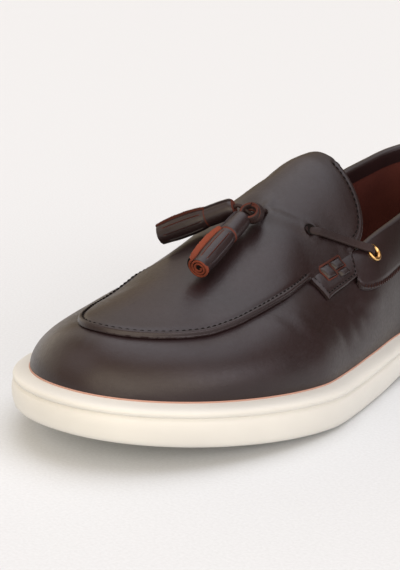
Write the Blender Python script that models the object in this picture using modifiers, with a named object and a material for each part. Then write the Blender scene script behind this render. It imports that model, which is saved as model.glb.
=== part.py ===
"""Tassel loafer, the wearer's left shoe, as an assembly of its own pieces.

Metres, +Z up. The shoe stands on its outsole at z = 0, with its toe toward -Y,
its heel toward +Y and its outer (lateral) side toward +X.

Every curved piece is read from one function, skin(side, way, reach):
  side   +1 lateral, -1 medial
  way    0 at the back of the heel, 1 at the tip of the toe, along the sole's outline
  reach  0 on the ridge of the instep, 1 on the moc seam or topline, 2 at the sole
"""

import math
from bisect import bisect_right
from collections import namedtuple
from functools import lru_cache

import bmesh
import bpy
from mathutils import Matrix, Vector

MM = 0.001

# Driving sizes of the sole
LENGTH = 302 * MM
BALL_WIDTH = 114 * MM
SOLE_HEIGHT = 16.3 * MM
HEEL_LIFT = 2.2 * MM
TOE_SPRING = 12.2 * MM
ARCH_RISE = 1.5 * MM
TOE_SWING = 2 * MM
LEDGE = 6.5 * MM
BEAD = 0.8 * MM
TREAD_TUCK = 3.6 * MM
FEATHER_MARGIN = 0.6 * MM
SEAT_DROP = 0.6 * MM

# Driving sizes of the upper
WALL = 2 * MM
HEEL_HEIGHT = 61.5 * MM
INSTEP_HEIGHT = 71.7 * MM
TOE_CAP_REACH = 22 * MM
RIDGE_TO_MEDIAL = 3 * MM
GAP = 0.3 * MM

# Driving sizes of what lies on and in the upper
APRON_THICKNESS = 1.6 * MM
TONGUE_LENGTH = 16.5 * MM
TONGUE_FULLNESS = 0.98
TONGUE_TAPER = 0.38
TONGUE_SWEEP = 0.85
TONGUE_END_ANGLE = math.radians(80)
TAB_DEPTH = 10.8 * MM
TAB_REAR_SHARE = 0.94
TAB_SLANT = 0.8
COLLAR_DEPTH = 20 * MM
COLLAR_THICKNESS = 1.3 * MM
COLLAR_CORNER = 0.62
COLLAR_TOP = 0.02
COLLAR_TO_TAB = 0.6 * MM
INSOLE_THICKNESS = 4 * MM
INSOLE_CLEARANCE = 0.9 * MM
INSOLE_CHAMFER = 1 * MM
WEAVE_STATION = 0.580
WEAVE_TOP = 0.95
WEAVE_LENGTH = 13 * MM
WEAVE_DEPTH = 9 * MM
WEAVE_THICKNESS = 0.7 * MM
WEAVE_RELIEF = 0.7 * MM

# Driving sizes of the eyelets, the thong and the tassels
EYELET_RADIUS = 3.7 * MM
EYELET_BORE = 1.9 * MM
EYELET_BARREL = 2.4 * MM
EYELET_FACE = 0.9 * MM
EYELET_CUT = 8 * MM
EYELET_SETBACK = 9 * MM
EYELET_DROP = 6 * MM
THONG_WIDTH = 3.6 * MM
THONG_THICKNESS = 1.6 * MM
KNOT_RADIUS = 3.3 * MM
KNOT_LIFT = 1.2 * MM
KNOT_STEM = 2.4 * MM
THONG_GAP = 0.7 * MM
THONG_LEAD = 1.6 * MM
TASSEL_LENGTH = 32 * MM
TASSEL_RADIUS = 5 * MM
TASSEL_CAP_LENGTH = 11 * MM
FRINGE_STRIPS = 9

# Where the seam and the throat meet, as shares of the length from the heel
THROAT = 0.530
SEAM_END = 0.625
SLIT_STATION = 0.590
SLIT_REACH = 0.70
HOLE_STATION = 0.655
HOLE_REACH = 0.20
KNOT_STATION = 0.690
SPRING_START = 0.62
SWING_START = 0.60
ARCH_START = 0.30
ARCH_END = 0.54
HEEL_ROUND = 0.17
TOE_ROUND = {1: 0.70, -1: 0.76}
TOE_TAPER = 1.77
TOE_FULLNESS = 2.12
SPRING_AT_FEATHER = 0.8

# Half widths of the outsole, as shares of its width at the ball
Width = namedtuple("Width", "station lateral medial")
SOLE_WIDTHS = (
    Width(0.15, 0.351, 0.347),
    Width(0.24, 0.370, 0.351),
    Width(0.34, 0.379, 0.328),
    Width(0.44, 0.401, 0.315),
    Width(0.54, 0.447, 0.365),
    Width(0.62, 0.484, 0.438),
    Width(0.70, 0.511, 0.474),
    Width(0.76, 0.511, 0.482),
)

# The outsole's side from the tread up: inset in beads, level from tread to feather
Step = namedtuple("Step", "inset level")
SOLE_SIDE = (
    Step(1.6, 0.07),
    Step(0.5, 0.24),
    Step(0.0, 0.48),
    Step(0.7, 0.69),
    Step(1.5, 0.745),
    Step(0.6, 0.79),
    Step(0.7, 0.875),
    Step(2.4, 0.945),
)

# The edge that the topline and the moc seam follow. Inset from the outsole's outline,
# what the medial side adds to it, and the guides that round the wall are shares of
# BALL_WIDTH, rise is one of HEEL_HEIGHT and drop one of the edge's own rise
Edge = namedtuple("Edge", "station inset medial rise bulge lean drop")
EDGES = (
    Edge(0.000, 0.100, 0.000, 1.000, 0.040, 0.025, 0.30),
    Edge(0.120, 0.120, 0.000, 0.925, 0.032, 0.012, 0.30),
    Edge(0.250, 0.132, 0.000, 0.846, 0.026, 0.012, 0.30),
    Edge(0.400, 0.134, 0.000, 0.750, 0.026, 0.040, 0.27),
    Edge(0.505, 0.152, 0.000, 0.662, 0.026, 0.080, 0.20),
    Edge(0.560, 0.185, 0.005, 0.592, 0.026, 0.080, 0.17),
    Edge(0.625, 0.214, 0.015, 0.533, 0.026, 0.085, 0.16),
    Edge(0.710, 0.210, 0.040, 0.470, 0.026, 0.095, 0.12),
    Edge(0.770, 0.202, 0.058, 0.407, 0.024, 0.095, 0.09),
    Edge(0.820, 0.193, 0.062, 0.348, 0.020, 0.095, 0.07),
    Edge(0.870, 0.184, 0.058, 0.307, 0.014, 0.090, 0.06),
    Edge(0.930, 0.178, 0.045, 0.290, 0.002, 0.080, 0.06),
    Edge(1.000, 0.180, 0.000, 0.276, -0.006, 0.070, 0.06),
)

# The ridge of the instep above the sole, as shares of INSTEP_HEIGHT
Ridge = namedtuple("Ridge", "station rise")
RIDGES = (
    Ridge(0.40, 0.980),
    Ridge(0.46, 0.995),
    Ridge(0.50, 0.982),
    Ridge(0.55, 0.908),
    Ridge(0.60, 0.812),
    Ridge(0.65, 0.703),
    Ridge(0.71, 0.590),
    Ridge(0.77, 0.500),
    Ridge(0.82, 0.452),
    Ridge(0.87, 0.420),
    Ridge(0.93, 0.388),
)

THROAT_WAY = math.acos(1 - 2 * THROAT) / math.pi
SEAM_END_WAY = math.acos(1 - 2 * SEAM_END) / math.pi
RIDGE_END_PACE = 0.35

PLAN_SAMPLES = 200
HEEL_COLUMNS = 18
TAB_COLUMNS = 5
TOE_COLUMNS = 17
TONGUE_COLUMNS = 6
WALL_ROWS = 6
CROWN_ROWS = 5


def lerp(a, b, share):
    return a + (b - a) * share


def clamp(value, low=0.0, high=1.0):
    return min(max(value, low), high)


def along(rows, column, at):
    """Read a table's column between its rows, smoothly and without overshoot."""
    xs = [row.station for row in rows]
    ys = [getattr(row, column) for row in rows]
    at = clamp(at, xs[0], xs[-1])
    k = min(bisect_right(xs, at), len(xs) - 1) - 1
    grades = [(ys[i + 1] - ys[i]) / (xs[i + 1] - xs[i]) for i in range(len(xs) - 1)]

    def slope(i):
        before = grades[max(i - 1, 0)]
        after = grades[min(i, len(grades) - 1)]
        return 0 if before * after <= 0 else 2 * before * after / (before + after)

    span = xs[k + 1] - xs[k]
    u = (at - xs[k]) / span
    start = ys[k] * (1 + 2 * u) * (1 - u) ** 2 + span * slope(k) * u * (1 - u) ** 2
    end = ys[k + 1] * u * u * (3 - 2 * u) + span * slope(k + 1) * u * u * (u - 1)
    return start + end


def station_of(way):
    return (1 - math.cos(math.pi * way)) / 2


def way_of(station):
    return math.acos(1 - 2 * station) / math.pi


def length_at(station):
    return (0.5 - station) * LENGTH


def half_width(side, station):
    """Half width of the outsole, with its round heel and its fuller round toe."""
    column = "lateral" if side > 0 else "medial"
    width = along(SOLE_WIDTHS, column, station) * BALL_WIDTH
    if station < HEEL_ROUND:
        width *= (1 - (1 - station / HEEL_ROUND) ** 2) ** 0.5
    start = TOE_ROUND[side]
    if station > start:
        width *= max(1 - ((station - start) / (1 - start)) ** TOE_TAPER, 0) ** (1 / TOE_FULLNESS)
    return width


def toe_swing(station):
    return TOE_SWING * clamp((station - SWING_START) / (1 - SWING_START)) ** 2


@lru_cache(maxsize=None)
def plan_middle():
    """Middle of the plan's whole width, which stands on the origin."""
    stations = columns(0, 1, PLAN_SAMPLES)
    lateral = max(half_width(1, station) + toe_swing(station) for station in stations)
    medial = min(toe_swing(station) - half_width(-1, station) for station in stations)
    return (lateral + medial) / 2


def outline(side, way):
    station = station_of(way)
    across = side * half_width(side, station) + toe_swing(station) - plan_middle()
    return Vector((across, length_at(station), 0))


@lru_cache(maxsize=None)
def outward(side, way):
    """The outline's level normal, which runs straight along the axis at both ends."""
    if way <= 0:
        return Vector((0, 1, 0))
    if way >= 1:
        return Vector((0, -1, 0))
    step = 0.004
    tangent = outline(side, min(way + step, 1)) - outline(side, max(way - step, 0))
    return Vector((-side * tangent.y, side * tangent.x, 0)).normalized()


def spring_height(station):
    return TOE_SPRING * clamp((station - SPRING_START) / (1 - SPRING_START)) ** 1.5


def tread_height(station):
    """Underside of the outsole: flat heel, low arch, flat ball, then the toe spring."""
    across = clamp((station - ARCH_START) / (ARCH_END - ARCH_START))
    return spring_height(station) + ARCH_RISE * math.sin(math.pi * across) ** 2


def feather_height(station):
    """Top of the outsole, where the upper meets it."""
    spring = SPRING_AT_FEATHER * spring_height(station)
    return SOLE_HEIGHT + spring + HEEL_LIFT * clamp(1 - 2 * station)


@lru_cache(maxsize=None)
def wall_guides(side, way):
    """Feather point, two guide points and edge point of the wall at one place."""
    station = station_of(way)
    out = outward(side, way)
    up = Vector((0, 0, 1))
    rise = along(EDGES, "rise", station) * HEEL_HEIGHT
    feather = outline(side, way) - out * LEDGE + up * (feather_height(station) + GAP)
    inset = along(EDGES, "inset", station) * BALL_WIDTH
    if side < 0:
        inset += along(EDGES, "medial", station) * BALL_WIDTH
    edge = outline(side, way) - out * inset + up * (feather_height(station) + rise)
    bulge = out * along(EDGES, "bulge", station) * BALL_WIDTH
    lean = out * along(EDGES, "lean", station) * BALL_WIDTH
    low = feather + bulge + up * 0.38 * rise
    high = edge + lean - up * along(EDGES, "drop", station) * rise
    return feather, low, high, edge


def ridge_height(y):
    return SOLE_HEIGHT + along(RIDGES, "rise", 0.5 - y / LENGTH) * INSTEP_HEIGHT


@lru_cache(maxsize=None)
def ridge_point(way):
    """The crest of the instep, which stops short of the seam at the toe."""
    lateral = wall_guides(1, way)[3]
    medial = wall_guides(-1, way)[3]
    y = length_at(station_of(way))
    run = 0
    if way > THROAT_WAY:
        run = (way - THROAT_WAY) / (1 - THROAT_WAY)
        slowing = lerp(1 - (1 - run) ** 2, run, RIDGE_END_PACE)
        toe = wall_guides(1, 1.0)[3].y + TOE_CAP_REACH
        y = lerp(length_at(THROAT), toe, slowing)
    x = (lateral.x + medial.x) / 2 - RIDGE_TO_MEDIAL * (1 - run ** 2)
    return Vector((x, y, ridge_height(y)))


def skin(side, way, reach):
    """A point of the upper's outer surface."""
    feather, low, high, edge = wall_guides(side, way)
    if reach <= 1:
        ridge = ridge_point(way)
        crest = edge.lerp(ridge, 0.5)
        crest.z = ridge.z + ridge_slope(ridge.y) * (crest.y - ridge.y)
        u = 1 - reach
        return edge * (1 - u) ** 2 + crest * 2 * u * (1 - u) + ridge * u * u
    u = 2 - reach
    start = feather * (1 - u) ** 3 + low * 3 * u * (1 - u) ** 2
    return start + high * 3 * u * u * (1 - u) + edge * u ** 3


def ridge_slope(y):
    return (ridge_height(y + MM) - ridge_height(y - MM)) / (2 * MM)


def skin_normal(side, way, reach):
    """The outward normal. Across the ridge the skin is level by its making."""
    if reach <= 0:
        return Vector((0, -ridge_slope(ridge_point(way).y), 1)).normalized()
    step = 0.01
    ahead = skin(side, min(way + step, 1), reach) - skin(side, max(way - step, 0), reach)
    low = max(reach - step, 0)
    high = min(reach + step, 2)
    down = skin(side, way, high) - skin(side, way, low)
    return (ahead.cross(down) * side).normalized()


def lifted(side, way, reach, lift):
    """A point at a height over the skin. Points that both sides share are averaged."""
    normal = skin_normal(side, way, reach)
    if reach <= 0 or way <= 0 or way >= 1:
        normal = (normal + skin_normal(-side, way, reach)).normalized()
    return skin(side, way, reach) + normal * lift


def surface_frame(side, way, reach, lift):
    """A frame standing on the skin: X ahead to the toe, Z out of the leather."""
    z = skin_normal(side, way, reach)
    ahead = skin(side, way + 0.01, reach) - skin(side, way - 0.01, reach)
    x = (ahead - z * ahead.dot(z)).normalized()
    y = z.cross(x)
    frame = Matrix((x, y, z)).transposed().to_4x4()
    frame.translation = skin(side, way, reach) + z * lift
    return frame


# Scene housekeeping

def clear_scene():
    for obj in list(bpy.data.objects):
        bpy.data.objects.remove(obj, do_unlink=True)


def make_collection(name):
    collection = bpy.data.collections.new(name)
    bpy.context.scene.collection.children.link(collection)
    return collection


def make_material(name, color, roughness, metallic=0.0):
    material = bpy.data.materials.new(name)
    material.use_nodes = True
    shader = material.node_tree.nodes["Principled BSDF"]
    shader.inputs["Base Color"].default_value = (*color, 1)
    shader.inputs["Roughness"].default_value = roughness
    shader.inputs["Metallic"].default_value = metallic
    material.diffuse_color = (*color, 1)
    return material


def add_object(name, mesh, material, collection, smooth=40):
    obj = bpy.data.objects.new(name, mesh)
    mesh.materials.append(material)
    collection.objects.link(obj)
    mesh.shade_smooth()
    mesh.set_sharp_from_angle(angle=math.radians(smooth))
    return obj


def quad_strips(mesh_builder, rows, closed=False):
    """Join rows of vertices with quads, and skip a quad that has shrunk to a line."""
    for near, far in zip(rows, rows[1:]):
        count = len(near)
        for i in range(count if closed else count - 1):
            j = (i + 1) % count
            corners = []
            for vert in (near[i], near[j], far[j], far[i]):
                if all((vert.co - other.co).length > 1e-7 for other in corners):
                    corners.append(vert)
            if len(corners) > 2:
                mesh_builder.faces.new(corners)


def finish_mesh(name, mesh_builder, outward_test=None):
    """Weld shared points and turn every face outward."""
    bmesh.ops.remove_doubles(mesh_builder, verts=mesh_builder.verts, dist=1e-6)
    bmesh.ops.recalc_face_normals(mesh_builder, faces=mesh_builder.faces)
    if outward_test:
        mesh_builder.normal_update()
        place, direction = outward_test
        nearest = min(mesh_builder.faces, key=lambda f: (f.calc_center_median() - place).length)
        if nearest.normal.dot(direction) < 0:
            bmesh.ops.reverse_faces(mesh_builder, faces=mesh_builder.faces)
    mesh = bpy.data.meshes.new(name)
    mesh_builder.to_mesh(mesh)
    mesh_builder.free()
    return mesh


def sheet_mesh(name, grids, place, direction):
    """An open surface from grids of points, facing the given way at a place."""
    builder = bmesh.new()
    for grid in grids:
        quad_strips(builder, [[builder.verts.new(p) for p in row] for row in grid])
    return finish_mesh(name, builder, (place, direction))


def add_thickness(obj, thickness, inward=True):
    solidify = obj.modifiers.new("thickness", "SOLIDIFY")
    solidify.thickness = thickness
    solidify.offset = -1 if inward else 1


def loft_mesh(name, rings, cross_caps=False):
    """A closed solid through rings of equal count. Cross caps suit a bent outline."""
    builder = bmesh.new()
    rows = [[builder.verts.new(p) for p in ring] for ring in rings]
    quad_strips(builder, rows, closed=True)
    for row in (rows[0], rows[-1]):
        if not cross_caps:
            builder.faces.new(row)
            continue
        count = len(row)
        for k in range(count // 2):
            corners = [row[k], row[k + 1], row[(count - k - 1) % count], row[(count - k) % count]]
            builder.faces.new(list(dict.fromkeys(corners)))
    return finish_mesh(name, builder)


def cut(obj, cutter):
    boolean = obj.modifiers.new(cutter.name, "BOOLEAN")
    boolean.operation = "DIFFERENCE"
    boolean.solver = "EXACT"
    boolean.object = cutter


def columns(start, end, count):
    return [lerp(start, end, i / count) for i in range(count + 1)]


HEEL_WAYS = columns(0, THROAT_WAY, HEEL_COLUMNS)
TAB_WAYS = columns(THROAT_WAY, SEAM_END_WAY, TAB_COLUMNS)
TOE_WAYS = columns(SEAM_END_WAY, 1, TOE_COLUMNS)
ALL_WAYS = HEEL_WAYS[:-1] + TAB_WAYS[:-1] + TOE_WAYS


def sole_ring(inset, height_at):
    """Points all round the shoe: out along the lateral side, back along the medial."""
    lateral = [(1, way) for way in ALL_WAYS]
    medial = [(-1, way) for way in reversed(ALL_WAYS[1:-1])]
    ring = []
    for side, way in lateral + medial:
        point = outline(side, way) - outward(side, way) * inset
        point.z = height_at(station_of(way))
        ring.append(point)
    return ring


def make_outsole(materials, collection):
    rings = [sole_ring(TREAD_TUCK, tread_height)]
    for step in SOLE_SIDE:
        def height_at(station, level=step.level):
            return lerp(tread_height(station), feather_height(station), level)
        rings.append(sole_ring(step.inset * BEAD, height_at))
    rings.append(sole_ring(LEDGE - FEATHER_MARGIN, feather_height))
    rings.append(sole_ring(LEDGE + WALL + GAP, lambda station: feather_height(station) - SEAT_DROP))
    mesh = loft_mesh("outsole", rings, cross_caps=True)
    return add_object("outsole", mesh, materials["sole"], collection)


def make_insole(materials, collection):
    inset = LEDGE + WALL + INSOLE_CLEARANCE

    def height(level):
        return lambda station: feather_height(station) + GAP + level

    rings = (
        sole_ring(inset, height(0)),
        sole_ring(inset, height(INSOLE_THICKNESS - INSOLE_CHAMFER)),
        sole_ring(inset + INSOLE_CHAMFER, height(INSOLE_THICKNESS)),
    )
    mesh = loft_mesh("insole", rings, cross_caps=True)
    return add_object("insole", mesh, materials["lining"], collection)


def make_upper(materials, collection):
    """One hollow shell: the wall all round, and the crown from the throat to the toe."""
    reaches = columns(1, 2, WALL_ROWS)
    walls = [
        [[skin(side, way, reach) for reach in reaches] for way in ALL_WAYS]
        for side in (1, -1)
    ]
    crown_ways = TAB_WAYS[:-1] + TOE_WAYS
    crowns = [
        [[skin(side, way, reach) for reach in columns(0, 1, CROWN_ROWS)] for way in crown_ways]
        for side in (1, -1)
    ]
    back = skin(1, 0, 1.5)
    mesh = sheet_mesh("upper", walls + crowns, back, Vector((0, 1, 0)))
    obj = add_object("upper", mesh, materials["leather"], collection)
    add_thickness(obj, WALL)
    return obj


def tongue_row(side, angle):
    """A row of the free tongue, which narrows to a round end."""
    way = way_of(THROAT - TONGUE_LENGTH * math.sin(angle) ** TONGUE_SWEEP / LENGTH)
    end = TONGUE_FULLNESS * math.cos(angle) ** TONGUE_TAPER
    return way, columns(0, end, CROWN_ROWS)


def make_apron(materials, collection):
    """Apron, tabs and tongue: one leather, laid over the crown and past the throat."""
    lift = GAP
    grids = []
    for side in (1, -1):
        rows = []
        for k in range(TONGUE_COLUMNS, 0, -1):
            way, reaches = tongue_row(side, TONGUE_END_ANGLE * k / TONGUE_COLUMNS)
            rows.append([lifted(side, way, reach, lift) for reach in reaches])
        for way in TAB_WAYS[:-1] + TOE_WAYS:
            rows.append([lifted(side, way, r, lift) for r in columns(0, 1, CROWN_ROWS)])
        grids.append(rows)
        wing = []
        for way in TAB_WAYS:
            row = []
            for depth in (0, 0.5, 1):
                leaned = lerp(way, lerp(SEAM_END_WAY, way, TAB_SLANT), depth)
                row.append(lifted(side, leaned, 1 + depth * tab_share(side, way), lift))
            wing.append(row)
        grids.append(wing)
    top = ridge_point(way_of(0.6))
    mesh = sheet_mesh("apron_tongue", grids, top, Vector((0, 0, 1)))
    obj = add_object("apron_tongue", mesh, materials["leather"], collection)
    add_thickness(obj, APRON_THICKNESS, inward=False)
    return obj


def wall_length(side, way):
    reaches = columns(1, 2, WALL_ROWS)
    points = [skin(side, way, reach) for reach in reaches]
    return sum((b - a).length for a, b in zip(points, points[1:]))


def tab_share(side, way):
    """How far down the wall the tab reaches, a little more at its front."""
    ahead = (way - THROAT_WAY) / (SEAM_END_WAY - THROAT_WAY)
    return TAB_DEPTH * lerp(TAB_REAR_SHARE, 1, ahead) / wall_length(side, way)


def collar_front(way):
    """0 along the collar band, then up to 1 at its front end by the tab."""
    front = COLLAR_DEPTH / LENGTH
    return clamp((station_of(way) - THROAT + front) / front)


def collar_share(side, way):
    """How far down the wall the collar band reaches, with a round front corner."""
    corner = lerp(1, COLLAR_CORNER, 1 - (1 - collar_front(way) ** 3) ** 0.5)
    return COLLAR_DEPTH * corner / wall_length(side, way)


def collar_spot(side, way, depth):
    """A place on the band, whose front end leans along the tab's rear edge."""
    down = depth * collar_share(side, way)
    lean = (1 - TAB_SLANT) * (SEAM_END_WAY - THROAT_WAY) * down / tab_share(side, THROAT_WAY)
    return lifted(side, way + lean * collar_front(way) ** 2, 1 + down, GAP)


def make_collar(materials, collection, cutters):
    """The band round the opening, cut from the wall's own shape."""
    front_way = way_of(THROAT - COLLAR_TO_TAB / LENGTH)
    grids = []
    for side in (1, -1):
        ways = HEEL_WAYS[:-1] + columns(HEEL_WAYS[-2], front_way, 3)[1:]
        grids.append([
            [collar_spot(side, way, depth) for depth in columns(COLLAR_TOP, 1, 3)]
            for way in ways
        ])
    back = lifted(1, 0, 1.1, GAP)
    mesh = sheet_mesh("collar_band", grids, back, Vector((0, 1, 0)))
    obj = add_object("collar_band", mesh, materials["leather"], collection)
    add_thickness(obj, COLLAR_THICKNESS, inward=False)
    for cutter in cutters:
        cut(obj, cutter)
    return obj


def eyelet_frame(side):
    way = way_of(THROAT - EYELET_SETBACK / LENGTH)
    reach = 1 + EYELET_DROP / wall_length(side, way)
    return surface_frame(side, way, reach, GAP + COLLAR_THICKNESS)


def turned_mesh(name, profile, steps):
    """Turn a closed profile of (radius, height) pairs round Z."""
    builder = bmesh.new()
    verts = [builder.verts.new((radius, 0, height)) for radius, height in profile]
    edges = [builder.edges.new((a, b)) for a, b in zip(verts, verts[1:] + verts[:1])]
    bmesh.ops.spin(builder, geom=verts + edges, cent=(0, 0, 0), axis=(0, 0, 1),
                   angle=math.tau, steps=steps, use_merge=True)
    return finish_mesh(name, builder)


# An eyelet's rolled face: its radius as a share from bore to rim, its rise as one of its face
Roll = namedtuple("Roll", "share rise")
EYELET_ROLL = (
    Roll(0.78, 0.00), Roll(1.00, 0.35), Roll(0.72, 0.85),
    Roll(0.39, 1.00), Roll(0.11, 0.50), Roll(0.00, 0.00),
)


def make_eyelet(name, side, materials, collection):
    """A turned ring with a rolled face and a barrel through the collar and wall."""
    depth = COLLAR_THICKNESS + GAP + WALL
    profile = [(EYELET_BORE, -depth), (EYELET_BARREL, -depth), (EYELET_BARREL, GAP)]
    for roll in EYELET_ROLL:
        radius = lerp(EYELET_BORE, EYELET_RADIUS, roll.share)
        profile.append((radius, GAP + roll.rise * EYELET_FACE))
    obj = add_object(name, turned_mesh(name, profile, 20), materials["brass"], collection)
    obj.matrix_world = eyelet_frame(side)
    return obj


def make_eyelet_cutter(name, side, collection):
    radius = EYELET_BARREL + GAP
    builder = bmesh.new()
    bmesh.ops.create_cone(builder, cap_ends=True, segments=20, radius1=radius,
                          radius2=radius, depth=2 * EYELET_CUT)
    mesh = bpy.data.meshes.new(name)
    builder.to_mesh(mesh)
    builder.free()
    cutter = bpy.data.objects.new(name, mesh)
    collection.objects.link(cutter)
    cutter.matrix_world = eyelet_frame(side)
    cutter.hide_render = True
    cutter.display_type = "WIRE"
    return cutter


def smooth_path(points, count):
    """Points along a smooth curve through the given ones, evenly spread by index."""
    ends = [points[0] * 2 - points[1]] + list(points) + [points[-1] * 2 - points[-2]]
    path = []
    for i in range(count + 1):
        place = i / count * (len(points) - 1)
        k = min(int(place), len(points) - 2)
        u = place - k
        a, b, c, d = ends[k:k + 4]
        path.append(0.5 * (2 * b + (c - a) * u + (2 * a - 5 * b + 4 * c - d) * u * u
                           + (3 * b - a - 3 * c + d) * u ** 3))
    return path


def strap_rings(path, faces, width, thickness, sides=8):
    """Rings of a flat thong along a path, each with its broad face turned as asked."""
    rings = []
    for k, point in enumerate(path):
        ahead = (path[min(k + 1, len(path) - 1)] - path[max(k - 1, 0)]).normalized()
        face = (faces[k] - ahead * faces[k].dot(ahead)).normalized()
        across = ahead.cross(face)
        ring = []
        for i in range(sides):
            angle = math.tau * (i + 0.5) / sides
            x = math.copysign(abs(math.cos(angle)) ** 0.5, math.cos(angle)) * width / 2
            z = math.copysign(abs(math.sin(angle)) ** 0.5, math.sin(angle)) * thickness / 2
            ring.append(point + across * x + face * z)
        rings.append(ring)
    return rings


# The lace bar's way from the eyelet to its slit: places on the leather and rises over it
Stop = namedtuple("Stop", "station reach rise")
LACE_BAR_STOPS = (
    Stop(0.535, 0.97, 1.2 * MM),
    Stop(0.562, 0.84, 0.7 * MM),
    Stop(SLIT_STATION, SLIT_REACH, 0),
)
LACE_BAR_COLUMNS = 9


def make_lace_bar(name, side, materials, collection):
    """The thong's free run, from the face of the eyelet to its slit in the apron."""
    eyelet = eyelet_frame(side)
    seat = GAP + THONG_THICKNESS / 2
    leather = GAP + APRON_THICKNESS
    normal = eyelet.to_3x3().col[2]
    points = [eyelet.translation + normal * (EYELET_FACE + GAP + seat)]
    for stop in LACE_BAR_STOPS:
        way = way_of(stop.station)
        points.append(lifted(side, way, stop.reach, leather + seat + stop.rise))
    path = smooth_path(points, LACE_BAR_COLUMNS)
    tilt = skin_normal(side, way_of(SLIT_STATION), SLIT_REACH)
    faces = [normal.lerp(tilt, share) for share in columns(0, 1, LACE_BAR_COLUMNS)]
    mesh = loft_mesh(name, strap_rings(path, faces, THONG_WIDTH, THONG_THICKNESS))
    return add_object(name, mesh, materials["thong"], collection)


def make_tab_weave(name, side, materials, collection):
    """The woven square on the tab: one plate with the pads of its thong raised."""
    along_cells, down_cells = 9, 6
    middle = way_of(WEAVE_STATION)
    step = WEAVE_LENGTH / (LENGTH * math.pi / 2 * math.sin(math.pi * middle)) / along_cells
    drop = WEAVE_DEPTH / wall_length(side, middle) / down_cells
    floor = 2 * GAP + APRON_THICKNESS
    top = floor + WEAVE_THICKNESS

    def spot(i, j, lift):
        way = middle + (i - along_cells / 2) * step
        return lifted(side, way, WEAVE_TOP + drop * j, lift)

    def relief(i, j):
        groove = i % 3 == 0 or j % 3 == 0
        return 0.0 if groove else WEAVE_RELIEF

    builder = bmesh.new()
    size = [(i, range(down_cells + 1)) for i in range(along_cells + 1)]
    below = [[builder.verts.new(spot(i, j, floor)) for j in row] for i, row in size]
    above = [
        [builder.verts.new(spot(i, j, top + relief(i, j))) for j in row] for i, row in size
    ]
    quad_strips(builder, below)
    quad_strips(builder, above)
    rims = (
        ([row[0] for row in below], [row[0] for row in above]),
        ([row[-1] for row in below], [row[-1] for row in above]),
        (below[0], above[0]),
        (below[-1], above[-1]),
    )
    for low, high in rims:
        quad_strips(builder, [low, high])
    mesh = finish_mesh(name, builder)
    return add_object(name, mesh, materials["thong"], collection)


def surface_spot(side, station, reach, lift):
    return lifted(side, way_of(station), reach, lift + GAP + APRON_THICKNESS)


# Where each tassel's axis lies: its top and its end on the skin, and its clearance
Lie = namedtuple("Lie", "side top_station top_reach end_side end_station end_reach clear")
TASSEL_LIES = {
    "near": Lie(1, 0.725, 0.16, 1, 0.843, 0.29, 0.8 * MM),
    "far": Lie(1, 0.716, 0.03, -1, 0.704, 0.78, 3 * MM),
}


def tassel_axis(which):
    lie = TASSEL_LIES[which]
    clear = TASSEL_RADIUS + lie.clear
    top = surface_spot(lie.side, lie.top_station, lie.top_reach, clear)
    end = surface_spot(lie.end_side, lie.end_station, lie.end_reach, clear)
    return top, top + (end - top).normalized() * TASSEL_LENGTH


# A tassel's rings: share of its length, share of its radius, depth of its slits
Ring = namedtuple("Ring", "share fullness slit")


TASSEL_CAP_SHARE = TASSEL_CAP_LENGTH / TASSEL_LENGTH
TASSEL_RINGS = (
    Ring(0.00, 0.45, 0.00),
    Ring(0.03, 0.68, 0.00),
    Ring(TASSEL_CAP_SHARE - 0.02, 0.74, 0.00),
    Ring(TASSEL_CAP_SHARE, 0.82, 0.16),
    Ring(0.65, 1.00, 0.16),
    Ring(1.00, 0.86, 0.16),
)
POINTS_PER_STRIP = 4


def make_tassel(which, materials, collection):
    """A rolled leather tassel: a plain wrapped cap over fringe strips fused to a core."""
    name = f"tassel_{which}"
    top, end = tassel_axis(which)
    ahead = (end - top).normalized()
    lie = TASSEL_LIES[which]
    lift = skin_normal(lie.side, way_of(lie.top_station), lie.top_reach)
    across = ahead.cross(lift).normalized()
    lift = across.cross(ahead)
    count = FRINGE_STRIPS * POINTS_PER_STRIP
    rings = []
    for row in TASSEL_RINGS:
        centre = top.lerp(end, row.share)
        ring = []
        for i in range(count):
            groove = row.slit if i % POINTS_PER_STRIP == 0 else 0
            radius = TASSEL_RADIUS * row.fullness * (1 - groove)
            angle = math.tau * i / count
            ring.append(centre + (across * math.cos(angle) + lift * math.sin(angle)) * radius)
        rings.append(ring)
    return add_object(name, loft_mesh(name, rings), materials["leather"], collection)


def make_tube(name, points, radius, material, collection):
    curve = bpy.data.curves.new(name, "CURVE")
    curve.dimensions = "3D"
    curve.bevel_depth = radius
    curve.bevel_resolution = 2
    curve.use_fill_caps = True
    spline = curve.splines.new("POLY")
    spline.points.add(len(points) - 1)
    for spot, point in zip(spline.points, points):
        spot.co = (*point, 1)
    curve.materials.append(material)
    obj = bpy.data.objects.new(name, curve)
    collection.objects.link(obj)
    return obj


def knot_centre():
    return surface_spot(1, KNOT_STATION, HOLE_REACH, KNOT_RADIUS + KNOT_LIFT)


# The knot's radius from the thongs' stem to its front, as shares of KNOT_RADIUS
KNOT_FULLNESS = (0.30, 0.36, 0.38, 0.40, 0.80, 1.0, 1.0, 0.85)
KNOT_SIDES = 12


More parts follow.
